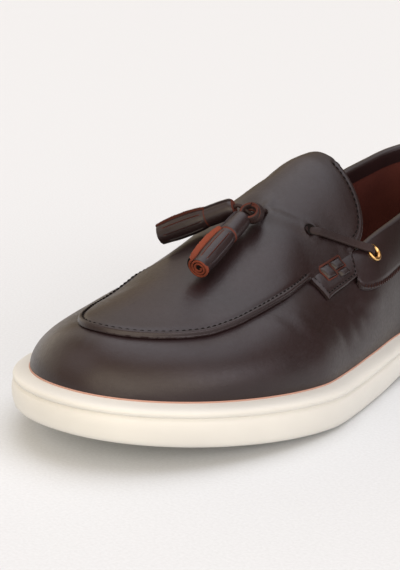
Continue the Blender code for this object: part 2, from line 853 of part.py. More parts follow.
def make_knot(materials, collection):
    """The hard knot of the two thongs, on the stem that they make from the middle hole."""
    hole = surface_spot(1, HOLE_STATION, HOLE_REACH, GAP)
    knot = knot_centre()
    rise = skin_normal(1, way_of(HOLE_STATION), HOLE_REACH)
    stem = hole + rise * KNOT_STEM
    path = smooth_path([hole, stem, knot, knot * 2 - stem], len(KNOT_FULLNESS) + 1)
    rings = []
    for k, share in enumerate(KNOT_FULLNESS):
        ahead = (path[k + 1] - path[max(k - 1, 0)]).normalized()
        across = ahead.cross(rise).normalized()
        up = across.cross(ahead)
        ring = []
        for i in range(KNOT_SIDES):
            angle = math.tau * i / KNOT_SIDES
            way_out = across * math.cos(angle) + up * math.sin(angle)
            ring.append(path[k] + way_out * KNOT_RADIUS * share)
        rings.append(ring)
    mesh = loft_mesh("lace_knot", rings)
    return add_object("lace_knot", mesh, materials["thong"], collection)


def make_lace_end(which, materials, collection):
    """A thong from the knot to the top of its tassel."""
    knot = knot_centre()
    top, end = tassel_axis(which)
    ahead = (end - top).normalized()
    finish = top - ahead * THONG_GAP
    lead = finish - ahead * THONG_LEAD
    start = knot + (lead - knot).normalized() * (KNOT_RADIUS + GAP)
    path = smooth_path([start, lead, finish], 6)
    radius = THONG_THICKNESS / 2
    return make_tube(f"lace_end_{which}", path, radius, materials["thong"], collection)


def main():
    clear_scene()
    shoe = make_collection("tassel_loafer")
    cutter_box = make_collection("cutters")
    materials = {
        "leather": make_material("dark brown leather", (0.035, 0.018, 0.016), 0.35),
        "thong": make_material("brown thong leather", (0.045, 0.022, 0.018), 0.45),
        "lining": make_material("red brown lining", (0.09, 0.03, 0.02), 0.7),
        "sole": make_material("cream rubber", (0.84, 0.79, 0.70), 0.55),
        "brass": make_material("aged brass", (0.55, 0.36, 0.14), 0.3, 1.0),
    }
    cutters = [
        make_eyelet_cutter(f"eyelet_hole_{name}", side, cutter_box)
        for name, side in (("lateral", 1), ("medial", -1))
    ]
    make_outsole(materials, shoe)
    make_insole(materials, shoe)
    upper = make_upper(materials, shoe)
    for cutter in cutters:
        cut(upper, cutter)
    make_apron(materials, shoe)
    make_collar(materials, shoe, cutters)
    for name, side in (("lateral", 1), ("medial", -1)):
        make_eyelet(f"eyelet_{name}", side, materials, shoe)
        make_lace_bar(f"lace_bar_{name}", side, materials, shoe)
        make_tab_weave(f"tab_weave_{name}", side, materials, shoe)
    make_knot(materials, shoe)
    for which in TASSEL_LIES:
        make_lace_end(which, materials, shoe)
        make_tassel(which, materials, shoe)


main()
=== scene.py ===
"""Looks of a left tassel loafer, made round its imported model.

Metres, toe toward -Y, outer side toward +X. The leather pieces are finer sheets over the
same skin that the solids follow: skin(side, way, reach).
"""

import math
from bisect import bisect_right
from collections import namedtuple
from functools import lru_cache

import bmesh
import bpy
from mathutils import Matrix, Vector, noise
from mathutils.bvhtree import BVHTree
from mathutils.kdtree import KDTree


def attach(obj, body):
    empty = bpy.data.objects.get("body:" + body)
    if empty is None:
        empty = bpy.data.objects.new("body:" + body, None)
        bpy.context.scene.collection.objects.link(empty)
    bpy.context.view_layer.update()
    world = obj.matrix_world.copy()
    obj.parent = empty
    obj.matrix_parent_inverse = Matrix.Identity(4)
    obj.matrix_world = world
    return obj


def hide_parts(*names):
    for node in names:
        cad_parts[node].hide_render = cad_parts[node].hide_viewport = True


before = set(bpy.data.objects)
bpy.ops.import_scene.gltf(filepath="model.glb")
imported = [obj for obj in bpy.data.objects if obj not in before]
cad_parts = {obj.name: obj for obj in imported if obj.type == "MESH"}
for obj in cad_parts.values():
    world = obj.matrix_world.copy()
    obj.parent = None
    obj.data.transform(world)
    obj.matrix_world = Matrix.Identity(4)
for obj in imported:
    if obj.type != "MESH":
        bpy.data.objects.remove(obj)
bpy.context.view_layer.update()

MM = 0.001
SIDES = ((1, "lateral"), (-1, "medial"))

# The shoe's own sizes
LENGTH = 302 * MM
BALL_WIDTH = 114 * MM
SOLE_HEIGHT = 16.3 * MM
HEEL_LIFT = 2.2 * MM
TOE_SPRING = 12.2 * MM
ARCH_RISE = 1.5 * MM
TOE_SWING = 2 * MM
LEDGE = 6.5 * MM
BEAD = 0.8 * MM
TREAD_TUCK = 3.6 * MM
WALL = 2 * MM
HEEL_HEIGHT = 61.5 * MM
INSTEP_HEIGHT = 71.7 * MM
TOE_CAP_REACH = 22 * MM
RIDGE_TO_MEDIAL = 3 * MM
GAP = 0.3 * MM
APRON_THICKNESS = 1.6 * MM
TONGUE_LENGTH = 16.5 * MM
TONGUE_FULLNESS = 0.98
TONGUE_TAPER = 0.38
TONGUE_SWEEP = 0.85
TAB_DEPTH = 10.8 * MM
TAB_REAR_SHARE = 0.94
TAB_SLANT = 0.8
COLLAR_DEPTH = 20 * MM
COLLAR_THICKNESS = 1.3 * MM
COLLAR_CORNER = 0.62
INSOLE_THICKNESS = 4 * MM
EYELET_BORE = 1.9 * MM
EYELET_SETBACK = 9 * MM
EYELET_DROP = 6 * MM
THONG_WIDTH = 3.6 * MM
THONG_THICKNESS = 1.6 * MM
KNOT_RADIUS = 3.3 * MM
KNOT_LIFT = 1.2 * MM
TASSEL_LENGTH = 32 * MM
TASSEL_RADIUS = 5 * MM
TASSEL_CAP_LENGTH = 11 * MM
FRINGE_STRIPS = 9

# Places along the shoe, as shares of its length from the heel, and over its skin
THROAT = 0.530
SEAM_END = 0.625
SLIT_STATION = 0.590
SLIT_REACH = 0.70
HOLE_STATION = 0.655
HOLE_REACH = 0.20
KNOT_STATION = 0.690
WEAVE_STATION = 0.580
WEAVE_TOP = 0.95
SPRING_START = 0.62
SWING_START = 0.60
PLAN_SAMPLES = 200
ARCH_START = 0.30
ARCH_END = 0.54
HEEL_ROUND = 0.17
TOE_ROUND = {1: 0.70, -1: 0.76}
TOE_TAPER = 1.77
TOE_FULLNESS = 2.12
SPRING_AT_FEATHER = 0.8
RIDGE_END_PACE = 0.35



def table(kind, *rows):
    """Rows of numbers under the names of their columns."""
    return [kind(*row) for row in rows]


Width = namedtuple("Width", "station lateral medial")
SOLE_WIDTHS = table(
    Width,
    (0.15, 0.351, 0.347),
    (0.24, 0.370, 0.351),
    (0.34, 0.379, 0.328),
    (0.44, 0.401, 0.315),
    (0.54, 0.447, 0.365),
    (0.62, 0.484, 0.438),
    (0.70, 0.511, 0.474),
    (0.76, 0.511, 0.482),
)

Edge = namedtuple("Edge", "station inset medial rise bulge lean drop")
EDGES = table(
    Edge,
    (0.000, 0.100, 0.000, 1.000, 0.040, 0.025, 0.30),
    (0.120, 0.120, 0.000, 0.925, 0.032, 0.012, 0.30),
    (0.250, 0.132, 0.000, 0.846, 0.026, 0.012, 0.30),
    (0.400, 0.134, 0.000, 0.750, 0.026, 0.040, 0.27),
    (0.505, 0.152, 0.000, 0.662, 0.026, 0.080, 0.20),
    (0.560, 0.185, 0.005, 0.592, 0.026, 0.080, 0.17),
    (0.625, 0.214, 0.015, 0.533, 0.026, 0.085, 0.16),
    (0.710, 0.210, 0.040, 0.470, 0.026, 0.095, 0.12),
    (0.770, 0.202, 0.058, 0.407, 0.024, 0.095, 0.09),
    (0.820, 0.193, 0.062, 0.348, 0.020, 0.095, 0.07),
    (0.870, 0.184, 0.058, 0.307, 0.014, 0.090, 0.06),
    (0.930, 0.178, 0.045, 0.290, 0.002, 0.080, 0.06),
    (1.000, 0.180, 0.000, 0.276, -0.006, 0.070, 0.06),
)

Ridge = namedtuple("Ridge", "station rise")
RIDGES = table(
    Ridge,
    (0.40, 0.980),
    (0.46, 0.995),
    (0.50, 0.982),
    (0.55, 0.908),
    (0.60, 0.812),
    (0.65, 0.703),
    (0.71, 0.590),
    (0.77, 0.500),
    (0.82, 0.452),
    (0.87, 0.420),
    (0.93, 0.388),
)


# The shoe's skin, as the solids have it

def lerp(a, b, share):
    return a + (b - a) * share


def clamp(value, low=0.0, high=1.0):
    return min(max(value, low), high)


def ease(value):
    value = clamp(value)
    return value * value * (3 - 2 * value)


def bell(distance, width):
    return math.exp(-(distance / width) ** 2)


def columns(start, end, count):
    return [lerp(start, end, i / count) for i in range(count + 1)]


def along(rows, column, at):
    """Read a table's column between its rows, smoothly and without overshoot."""
    xs = [row[0] for row in rows]
    ys = [getattr(row, column) for row in rows]
    at = clamp(at, xs[0], xs[-1])
    k = min(bisect_right(xs, at), len(xs) - 1) - 1
    grades = [(ys[i + 1] - ys[i]) / (xs[i + 1] - xs[i]) for i in range(len(xs) - 1)]

    def slope(i):
        before = grades[max(i - 1, 0)]
        after = grades[min(i, len(grades) - 1)]
        return 0 if before * after <= 0 else 2 * before * after / (before + after)

    span = xs[k + 1] - xs[k]
    u = (at - xs[k]) / span
    start = ys[k] * (1 + 2 * u) * (1 - u) ** 2 + span * slope(k) * u * (1 - u) ** 2
    end = ys[k + 1] * u * u * (3 - 2 * u) + span * slope(k + 1) * u * u * (u - 1)
    return start + end


def station_of(way):
    return (1 - math.cos(math.pi * way)) / 2


def way_of(station):
    return math.acos(1 - 2 * station) / math.pi


THROAT_WAY = way_of(THROAT)
SEAM_END_WAY = way_of(SEAM_END)


def length_at(station):
    return (0.5 - station) * LENGTH


def half_width(side, station):
    column = "lateral" if side > 0 else "medial"
    width = along(SOLE_WIDTHS, column, station) * BALL_WIDTH
    if station < HEEL_ROUND:
        width *= (1 - (1 - station / HEEL_ROUND) ** 2) ** 0.5
    start = TOE_ROUND[side]
    if station > start:
        width *= max(1 - ((station - start) / (1 - start)) ** TOE_TAPER, 0) ** (1 / TOE_FULLNESS)
    return width


def toe_swing(station):
    return TOE_SWING * clamp((station - SWING_START) / (1 - SWING_START)) ** 2


@lru_cache(maxsize=None)
def plan_middle():
    """Middle of the plan's whole width, which stands on the origin."""
    stations = columns(0, 1, PLAN_SAMPLES)
    lateral = max(half_width(1, station) + toe_swing(station) for station in stations)
    medial = min(toe_swing(station) - half_width(-1, station) for station in stations)
    return (lateral + medial) / 2


def outline(side, way):
    station = station_of(way)
    across = side * half_width(side, station) + toe_swing(station) - plan_middle()
    return Vector((across, length_at(station), 0))


@lru_cache(maxsize=None)
def outward(side, way):
    if way <= 0:
        return Vector((0, 1, 0))
    if way >= 1:
        return Vector((0, -1, 0))
    step = 0.004
    tangent = outline(side, min(way + step, 1)) - outline(side, max(way - step, 0))
    return Vector((-side * tangent.y, side * tangent.x, 0)).normalized()


def spring_height(station):
    return TOE_SPRING * clamp((station - SPRING_START) / (1 - SPRING_START)) ** 1.5


def tread_height(station):
    across = clamp((station - ARCH_START) / (ARCH_END - ARCH_START))
    return spring_height(station) + ARCH_RISE * math.sin(math.pi * across) ** 2


def feather_height(station):
    spring = SPRING_AT_FEATHER * spring_height(station)
    return SOLE_HEIGHT + spring + HEEL_LIFT * clamp(1 - 2 * station)


@lru_cache(maxsize=None)
def wall_guides(side, way):
    station = station_of(way)
    out = outward(side, way)
    up = Vector((0, 0, 1))
    rise = along(EDGES, "rise", station) * HEEL_HEIGHT
    feather = outline(side, way) - out * LEDGE + up * (feather_height(station) + GAP)
    inset = along(EDGES, "inset", station) * BALL_WIDTH
    if side < 0:
        inset += along(EDGES, "medial", station) * BALL_WIDTH
    edge = outline(side, way) - out * inset + up * (feather_height(station) + rise)
    bulge = out * along(EDGES, "bulge", station) * BALL_WIDTH
    lean = out * along(EDGES, "lean", station) * BALL_WIDTH
    low = feather + bulge + up * 0.38 * rise
    high = edge + lean - up * along(EDGES, "drop", station) * rise
    return feather, low, high, edge


def ridge_height(y):
    return SOLE_HEIGHT + along(RIDGES, "rise", 0.5 - y / LENGTH) * INSTEP_HEIGHT


@lru_cache(maxsize=None)
def ridge_point(way):
    lateral = wall_guides(1, way)[3]
    medial = wall_guides(-1, way)[3]
    y = length_at(station_of(way))
    run = 0
    if way > THROAT_WAY:
        run = (way - THROAT_WAY) / (1 - THROAT_WAY)
        slowing = lerp(1 - (1 - run) ** 2, run, RIDGE_END_PACE)
        toe = wall_guides(1, 1.0)[3].y + TOE_CAP_REACH
        y = lerp(length_at(THROAT), toe, slowing)
    x = (lateral.x + medial.x) / 2 - RIDGE_TO_MEDIAL * (1 - run ** 2)
    return Vector((x, y, ridge_height(y)))


@lru_cache(maxsize=None)
def ridge_slope(y):
    return (ridge_height(y + MM) - ridge_height(y - MM)) / (2 * MM)


def skin(side, way, reach):
    feather, low, high, edge = wall_guides(side, way)
    if reach <= 1:
        ridge = ridge_point(way)
        crest = edge.lerp(ridge, 0.5)
        crest.z = ridge.z + ridge_slope(ridge.y) * (crest.y - ridge.y)
        u = 1 - reach
        return edge * (1 - u) ** 2 + crest * 2 * u * (1 - u) + ridge * u * u
    u = 2 - reach
    start = feather * (1 - u) ** 3 + low * 3 * u * (1 - u) ** 2
    return start + high * 3 * u * u * (1 - u) + edge * u ** 3


def skin_normal(side, way, reach):
    """The skin's outward normal; near the ridge it turns into the ridge's own."""
    crest = Vector((0, -ridge_slope(ridge_point(way).y), 1)).normalized()
    if reach <= 0:
        return crest
    step = 0.01
    ahead = skin(side, min(way + step, 1), reach) - skin(side, max(way - step, 0), reach)
    low = max(reach - step, 0)
    high = min(reach + step, 2)
    down = skin(side, way, high) - skin(side, way, low)
    normal = (ahead.cross(down) * side).normalized()
    near_tip = ease((way - 0.85) / 0.1)
    if reach < 0.4 and near_tip:
        normal = normal.lerp(crest, near_tip * ease((0.4 - reach) / 0.3)).normalized()
    return normal


def shared_normal(side, way, reach):
    """The skin's normal, averaged where both sides meet."""
    normal = skin_normal(side, way, reach)
    if reach <= 0 or way <= 0 or way >= 1:
        normal = (normal + skin_normal(-side, way, reach)).normalized()
    return normal


def lifted(side, way, reach, lift):
    return skin(side, way, reach) + shared_normal(side, way, reach) * lift


def surface_frame(side, way, reach, lift):
    z = skin_normal(side, way, reach)
    ahead = skin(side, way + 0.01, reach) - skin(side, way - 0.01, reach)
    x = (ahead - z * ahead.dot(z)).normalized()
    y = z.cross(x)
    turned = Matrix((x, y, z)).transposed().to_4x4()
    turned.translation = skin(side, way, reach) + z * lift
    return turned


@lru_cache(maxsize=None)
def wall_length(side, way):
    points = [skin(side, way, reach) for reach in columns(1, 2, 6)]
    return sum((b - a).length for a, b in zip(points, points[1:]))


@lru_cache(maxsize=None)
def crown_length(side, way):
    points = [skin(side, way, reach) for reach in columns(0, 1, 8)]
    return sum((b - a).length for a, b in zip(points, points[1:]))


def tab_share(side, way):
    ahead = (way - THROAT_WAY) / (SEAM_END_WAY - THROAT_WAY)
    return TAB_DEPTH * lerp(TAB_REAR_SHARE, 1, ahead) / wall_length(side, way)


def collar_front(way):
    """0 along the collar band, then up to 1 at its front end by the tab."""
    front = COLLAR_DEPTH / LENGTH
    return clamp((station_of(way) - THROAT + front) / front)


def collar_share(side, way):
    corner = lerp(1, COLLAR_CORNER, 1 - (1 - collar_front(way) ** 3) ** 0.5)
    return COLLAR_DEPTH * corner / wall_length(side, way)


def collar_spot(side, way, down, lift):
    """A place on the band, whose front end leans along the tab's rear edge."""
    lean = (1 - TAB_SLANT) * (SEAM_END_WAY - THROAT_WAY) * down / tab_share(side, THROAT_WAY)
    return lifted(side, way + lean * collar_front(way) ** 2, 1 + down, lift)


def eyelet_frame(side):
    way = way_of(THROAT - EYELET_SETBACK / LENGTH)
    reach = 1 + EYELET_DROP / wall_length(side, way)
    return surface_frame(side, way, reach, GAP + COLLAR_THICKNESS)


def surface_spot(side, station, reach, lift):
    return lifted(side, way_of(station), reach, lift + GAP + APRON_THICKNESS)


Lie = namedtuple("Lie", "side top_station top_reach end_side end_station end_reach clear")
TASSEL_LIES = {
    "near": Lie(1, 0.725, 0.16, 1, 0.843, 0.29, 0.8 * MM),
    "far": Lie(1, 0.716, 0.03, -1, 0.704, 0.78, 3 * MM),
}


def tassel_axis(which):
    lie = TASSEL_LIES[which]
    clear = TASSEL_RADIUS + lie.clear
    top = surface_spot(lie.side, lie.top_station, lie.top_reach, clear)
    end = surface_spot(lie.end_side, lie.end_station, lie.end_reach, clear)
    return top, top + (end - top).normalized() * TASSEL_LENGTH


def knot_centre():
    return surface_spot(1, KNOT_STATION, HOLE_REACH, KNOT_RADIUS + KNOT_LIFT)


def smooth_path(points, count):
    """Points along a smooth curve through the given ones."""
    ends = [points[0] * 2 - points[1]] + list(points) + [points[-1] * 2 - points[-2]]
    path = []
    for i in range(count + 1):
        place = i / count * (len(points) - 1)
        k = min(int(place), len(points) - 2)
        u = place - k
        a, b, c, d = ends[k:k + 4]
        path.append(0.5 * (2 * b + (c - a) * u + (2 * a - 5 * b + 4 * c - d) * u * u
                           + (3 * b - a - 3 * c + d) * u ** 3))
    return path


def path_length(path):
    return sum((b - a).length for a, b in zip(path, path[1:]))


# Camera, which stands where the photographer stood

CAMERA_TARGET = Vector((-25.6, -35.8, 36.3)) * MM
CAMERA_AZIMUTH = math.radians(36.6)
CAMERA_ELEVATION = math.radians(14.9)
CAMERA_ROLL = math.radians(2.0)
CAMERA_DISTANCE = 564.7 * MM
CAMERA_FOCUS = 1393.3
PHOTO_HEIGHT = 570
SENSOR = 36


def make_camera():
    data = bpy.data.cameras.new("camera")
    data.sensor_width = SENSOR
    data.lens = CAMERA_FOCUS * SENSOR / PHOTO_HEIGHT
    camera = bpy.data.objects.new("camera", data)
    bpy.context.scene.collection.objects.link(camera)
    flat = math.cos(CAMERA_ELEVATION)
    back = Vector((math.sin(CAMERA_AZIMUTH) * flat, -math.cos(CAMERA_AZIMUTH) * flat,
                   math.sin(CAMERA_ELEVATION)))
    right = Vector((math.cos(CAMERA_AZIMUTH), math.sin(CAMERA_AZIMUTH), 0))
    up = back.cross(right)
    across = right * math.cos(CAMERA_ROLL) + up * math.sin(CAMERA_ROLL)
    upright = up * math.cos(CAMERA_ROLL) - right * math.sin(CAMERA_ROLL)
    camera.matrix_world = Matrix((across, upright, back)).transposed().to_4x4()
    camera.matrix_world.translation = CAMERA_TARGET + back * CAMERA_DISTANCE
    bpy.context.scene.camera = camera


# Light and floor

# Each soft light: its direction, the angles in degrees where it ends and is full, colour, strength
Glow = namedtuple("Glow", "toward edge full color strength")
GLOWS = table(
    Glow,
    ((0.08, 0.17, 0.98), 46, 10, (0.84, 0.89, 1.0), 2.00),
    ((-0.55, 0.45, 0.70), 30, 6, (0.95, 0.94, 1.0), 0.55),
    ((-1.0, 0.0, 0.14), 40, 8, (1.0, 0.95, 0.88), 1.00),
    ((-0.45, -0.65, 0.60), 28, 5, (0.95, 0.92, 1.0), 1.15),
    ((0.24, -0.93, 0.30), 32, 8, (1.0, 0.90, 0.74), 2.30),
    ((0.84, -0.52, 0.16), 40, 8, (1.0, 0.92, 0.80), 2.40),
    ((0.92, 0.16, 0.36), 24, 5, (0.95, 0.91, 1.0), 2.70),
)
ROOM_COLOR = (1.0, 0.76, 0.46)
ROOM_STRENGTH = 0.50
DARK_SIDE = Vector((0.40, 0.95, 0.0)).normalized()


def make_floor(material):
    mesh = bpy.data.meshes.new("floor")
    half = 6
    mesh.from_pydata([(-half, -half, 0), (half, -half, 0), (half, half, 0), (-half, half, 0)],
                     [], [(0, 1, 2, 3)])
    mesh.materials.append(material)
    floor = bpy.data.objects.new("floor", mesh)
    bpy.context.scene.collection.objects.link(floor)


def make_world():
    """A warm room, darker to the right, with large soft lights far above and in front."""
    world = bpy.data.worlds.new("studio air")
    world.use_nodes = True
    made = Maker(world.node_tree)
    toward = made.node("ShaderNodeTexCoord").outputs["Generated"]

    def facing(direction):
        dot = made.node("ShaderNodeVectorMath", operation="DOT_PRODUCT")
        made.link(toward, dot.inputs[0])
        dot.inputs[1].default_value = Vector(direction).normalized()
        return dot.outputs["Value"]

    room = made.spread(facing(DARK_SIDE), 0.0, 0.9, ROOM_STRENGTH, 0.15 * ROOM_STRENGTH)
    total = made.tint(room, ROOM_COLOR)
    for glow in GLOWS:
        edge, full = (math.cos(math.radians(angle)) for angle in (glow.edge, glow.full))
        share = made.spread(facing(glow.toward), edge, full, 0, glow.strength, smooth=True)
        total = made.add(total, made.tint(share, glow.color))
    made.link(total, world.node_tree.nodes["Background"].inputs["Color"])
    bpy.context.scene.world = world
    bpy.context.scene.view_settings.view_transform = "Standard"


# Materials

class Maker:
    """Places and joins nodes in one tree."""

    def __init__(self, tree):
        self.tree = tree

    def node(self, kind, **settings):
        made = self.tree.nodes.new(kind)
        for name, value in settings.items():
            if hasattr(made, name):
                setattr(made, name, value)
            else:
                made.inputs[name.replace("_", " ")].default_value = value
        return made

    def link(self, source, target):
        self.tree.links.new(source, target)

    def feed(self, socket, value):
        """Set a socket to a number or a colour, or join it to another socket."""
        if isinstance(value, (int, float)):
            socket.default_value = value
        elif isinstance(value, tuple):
            socket.default_value = (*value, 1)
        else:
            self.link(value, socket)

    def math(self, operation, first, second):
        made = self.node("ShaderNodeMath", operation=operation)
        self.feed(made.inputs[0], first)
        self.feed(made.inputs[1], second)
        return made.outputs[0]

    def place(self):
        return self.node("ShaderNodeTexCoord").outputs["Object"]

    def noise(self, place, scale, **settings):
        made = self.node("ShaderNodeTexNoise", **settings)
        self.feed(made.inputs["Vector"], place)
        self.feed(made.inputs["Scale"], scale)
        return made.outputs["Fac"]

    def bump(self, height, strength, distance):
        made = self.node("ShaderNodeBump", Strength=strength, Distance=distance)
        self.link(height, made.inputs["Height"])
        return made.outputs["Normal"]

    def spread(self, value, low, high, start, end, smooth=False):
        made = self.node("ShaderNodeMapRange")
        made.interpolation_type = "SMOOTHSTEP" if smooth else "LINEAR"
        self.link(value, made.inputs["Value"])
        for name, number in (("From Min", low), ("From Max", high), ("To Min", start), ("To Max", end)):
            made.inputs[name].default_value = number
        return made.outputs["Result"]

    def tint(self, value, color):
        made = self.node("ShaderNodeVectorMath", operation="SCALE")
        made.inputs[0].default_value = color
        self.link(value, made.inputs["Scale"])
        return made.outputs[0]

    def add(self, first, second):
        made = self.node("ShaderNodeVectorMath", operation="ADD")
        self.link(first, made.inputs[0])
        self.link(second, made.inputs[1])
        return made.outputs[0]

    def blend(self, share, first, second):
        made = self.node("ShaderNodeMix", data_type="RGBA")
        self.link(share, made.inputs["Factor"])
        colors = [socket for socket in made.inputs if socket.type == "RGBA"]
        self.feed(colors[0], first)
        self.feed(colors[1], second)
        return next(socket for socket in made.outputs if socket.type == "RGBA")


def make_group(name, inputs, outputs):
    tree = bpy.data.node_groups.new(name, "ShaderNodeTree")
    for label, default in inputs:
        socket = tree.interface.new_socket(label, in_out="INPUT", socket_type="NodeSocketFloat")
        socket.default_value = default
    for label in outputs:
        tree.interface.new_socket(label, in_out="OUTPUT", socket_type="NodeSocketFloat")
    made = Maker(tree)
    return made, made.node("NodeGroupInput"), made.node("NodeGroupOutput")


def make_grain_group():
    """Leather grain: fine pores, faint wrinkles and slow changes of tone."""
    made, given, out = make_group(
        "leather grain", (("Pores", 1500.0), ("Wrinkles", 160.0), ("Patches", 22.0)),
        ("Height", "Tone", "Polish"))
    place = made.place()
    pores = made.node("ShaderNodeTexVoronoi", feature="SMOOTH_F1")
    made.link(place, pores.inputs["Vector"])
    made.link(given.outputs["Pores"], pores.inputs["Scale"])
    fine = made.noise(place, made.math("MULTIPLY", given.outputs["Pores"], 0.45),
                      Detail=5.0, Roughness=0.65)
    folds = made.noise(place, given.outputs["Wrinkles"], Detail=3.0, Roughness=0.5, Distortion=1.2)
    patch = made.noise(place, given.outputs["Patches"], Detail=3.0, Roughness=0.55)
    pebble = made.math("MULTIPLY", pores.outputs["Distance"], 0.5)
    height = made.math("ADD", pebble, made.math("MULTIPLY", fine, 0.5))
    height = made.math("ADD", height, made.math("MULTIPLY", folds, 1.1))
    for label, value in (("Height", height), ("Tone", patch), ("Polish", fine)):
        made.link(value, out.inputs[label])
    return made.tree


# Each leather: its two tones, its shine, smoothest and roughest polish, bump and grain
Leather = namedtuple("Leather", "dark light shine smooth rough bump pores wrinkles")
LEATHERS = {
    "brown leather": Leather((0.0110, 0.0052, 0.0056), (0.017, 0.0082, 0.0090), 0.42, 0.32, 0.43,
                             0.26, 1500, 150),
    "thong leather": Leather((0.015, 0.0085, 0.0085), (0.030, 0.0170, 0.0165), 0.20, 0.46, 0.62,
                             0.50, 1300, 420),
    "red brown lining": Leather((0.060, 0.0150, 0.0120), (0.095, 0.0260, 0.0200), 0.20, 0.55, 0.7,
                                0.30, 1200, 240),
    "raw cut edge": Leather((0.055, 0.0125, 0.008), (0.200, 0.050, 0.028), 0.10, 0.75, 0.92,
                            1.00, 1500, 900),
    "rubbed cut edge": Leather((0.026, 0.0078, 0.0062), (0.105, 0.0285, 0.0190), 0.15, 0.60, 0.85,
                               0.80, 1500, 800),
}


def start_material(name):
    """A new material, the maker of its nodes and its shader's sockets."""
    material = bpy.data.materials.new(name)
    material.use_nodes = True
    tree = material.node_tree
    return material, Maker(tree), tree.nodes["Principled BSDF"].inputs


def make_leather(name, kind, grain):
    material, made, shader = start_material(name)
    hide = made.node("ShaderNodeGroup", node_tree=grain, Pores=kind.pores, Wrinkles=kind.wrinkles)
    tone = made.spread(hide.outputs["Tone"], 0.35, 0.65, 0, 1)
    made.link(made.blend(tone, kind.dark, kind.light), shader["Base Color"])
    gloss = made.spread(hide.outputs["Polish"], 0.3, 0.7, kind.smooth, kind.rough)
    made.link(gloss, shader["Roughness"])
    made.link(made.bump(hide.outputs["Height"], kind.bump, 0.2 * MM), shader["Normal"])
    shader["Specular IOR Level"].default_value = kind.shine
    return material


RUBBER_SHADES = ((0.60, 0.595, 0.57), (0.64, 0.635, 0.605))
BRASS_SHADES = ((0.50, 0.27, 0.09), (0.80, 0.52, 0.22))


def make_rubber():
    """Cream rubber: matte, with a faint moulded unevenness."""
    material, made, shader = start_material("cream rubber")
    place = made.place()
    fine = made.noise(place, 1400.0, Detail=4.0)
    tone = made.spread(made.noise(place, 28.0, Detail=3.0), 0.35, 0.65, 0, 1)
    made.link(made.blend(tone, *RUBBER_SHADES), shader["Base Color"])
    made.link(made.spread(fine, 0.3, 0.7, 0.42, 0.56), shader["Roughness"])
    made.link(made.bump(fine, 0.12, 0.1 * MM), shader["Normal"])
    return material


def make_brass():
    """Aged brass: polished where it is rubbed, darker and duller in patches."""
    material, made, shader = start_material("aged brass")
    tarnish = made.noise(made.place(), 420.0, Detail=5.0)
    share = made.spread(tarnish, 0.38, 0.66, 0, 1)
    made.link(made.blend(share, *BRASS_SHADES), shader["Base Color"])
    made.link(made.spread(tarnish, 0.3, 0.7, 0.38, 0.2), shader["Roughness"])
    shader["Metallic"].default_value = 1.0
    return material


PLAIN_FINISHES = {
    "dark thread": ((0.0045, 0.0030, 0.0030), 0.9),
    "red thread": ((0.034, 0.011, 0.008), 0.8),
    # painted shade: near black, for the inside of slits, the middle hole and the tassels' rolled ends
    "painted hollow shade": ((0.004, 0.0022, 0.002), 0.9),
    # painted reflection: the pinkish brown that the leather casts on the sole's ledge at the feather
    "painted leather reflection": ((0.52, 0.30, 0.24), 0.7),
    "studio floor": ((0.735, 0.765, 0.80), 0.9),
}


def make_plain(name, color, roughness):
    """A finish with only a faint change of tone: thread, floor, the painted shade of hollows and the
    painted reflection at the feather.
    """
    material, made, shader = start_material(name)
    speck = made.noise(made.place(), 900.0, Detail=2.0)
    darker = tuple(0.85 * part for part in color)
    made.link(made.blend(speck, darker, color), shader["Base Color"])
    shader["Roughness"].default_value = roughness
    shader["Specular IOR Level"].default_value = 0.15
    return material


# Mesh making

def quad_strips(builder, rows, closed=False, material=0):
    for near, far in zip(rows, rows[1:]):
        count = len(near)
        for i in range(count if closed else count - 1):
            j = (i + 1) % count
            corners = []
            for vert in (near[i], near[j], far[j], far[i]):
                if all((vert.co - other.co).length > 1e-7 for other in corners):
                    corners.append(vert)
            if len(corners) > 2:
                builder.faces.new(corners).material_index = material


def finish_mesh(name, builder, outward_test=None):
    bmesh.ops.remove_doubles(builder, verts=builder.verts, dist=2e-6)
    bmesh.ops.recalc_face_normals(builder, faces=builder.faces)
    if outward_test:
        builder.normal_update()
        place, direction = outward_test
        nearest = min(builder.faces, key=lambda f: (f.calc_center_median() - place).length)
        if nearest.normal.dot(direction) < 0:
            bmesh.ops.reverse_faces(builder, faces=builder.faces)
    mesh = bpy.data.meshes.new(name)
    builder.to_mesh(mesh)
    builder.free()
    return mesh


def place_piece(name, data, replaced=()):
    """Put a mesh or a curve in the scene as one of the shoe's pieces."""
    obj = bpy.data.objects.new(name, data)
    bpy.context.scene.collection.objects.link(obj)
    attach(obj, "root")
    if replaced:
        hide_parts(*replaced)
    return obj


def add_piece(name, mesh, materials, replaced=(), smooth=45):
    for material in materials:
        mesh.materials.append(material)
    mesh.shade_smooth()
    mesh.set_sharp_from_angle(angle=math.radians(smooth))
    return place_piece(name, mesh, replaced)


def round_line(name, points, radius, material, closed, fineness):
    """A round line of stock along a path."""
    curve = bpy.data.curves.new(name, "CURVE")
    curve.dimensions = "3D"
    curve.bevel_depth = radius
    curve.bevel_resolution = fineness
    curve.use_fill_caps = not closed
    spline = curve.splines.new("POLY")
    spline.points.add(len(points) - 1)
    spline.use_cyclic_u = closed
    for spot, point in zip(spline.points, points):
        spot.co = (*point, 1)
    curve.materials.append(material)
    return curve


def settle(obj, smooth=45):
    """Turn a piece's modifiers into its mesh."""
    ready = obj.evaluated_get(bpy.context.evaluated_depsgraph_get())
    mesh = bpy.data.meshes.new_from_object(ready)
    obj.modifiers.clear()
    obj.data = mesh
    mesh.shade_smooth()
    mesh.set_sharp_from_angle(angle=math.radians(smooth))


def thicken(obj, thickness, inner_material=0):
    """Give a leather sheet its thickness, with its inner face in its own material."""
    solid = obj.modifiers.new("thickness", "SOLIDIFY")
    solid.thickness = thickness
    solid.offset = -1
    solid.material_offset = inner_material
    settle(obj)


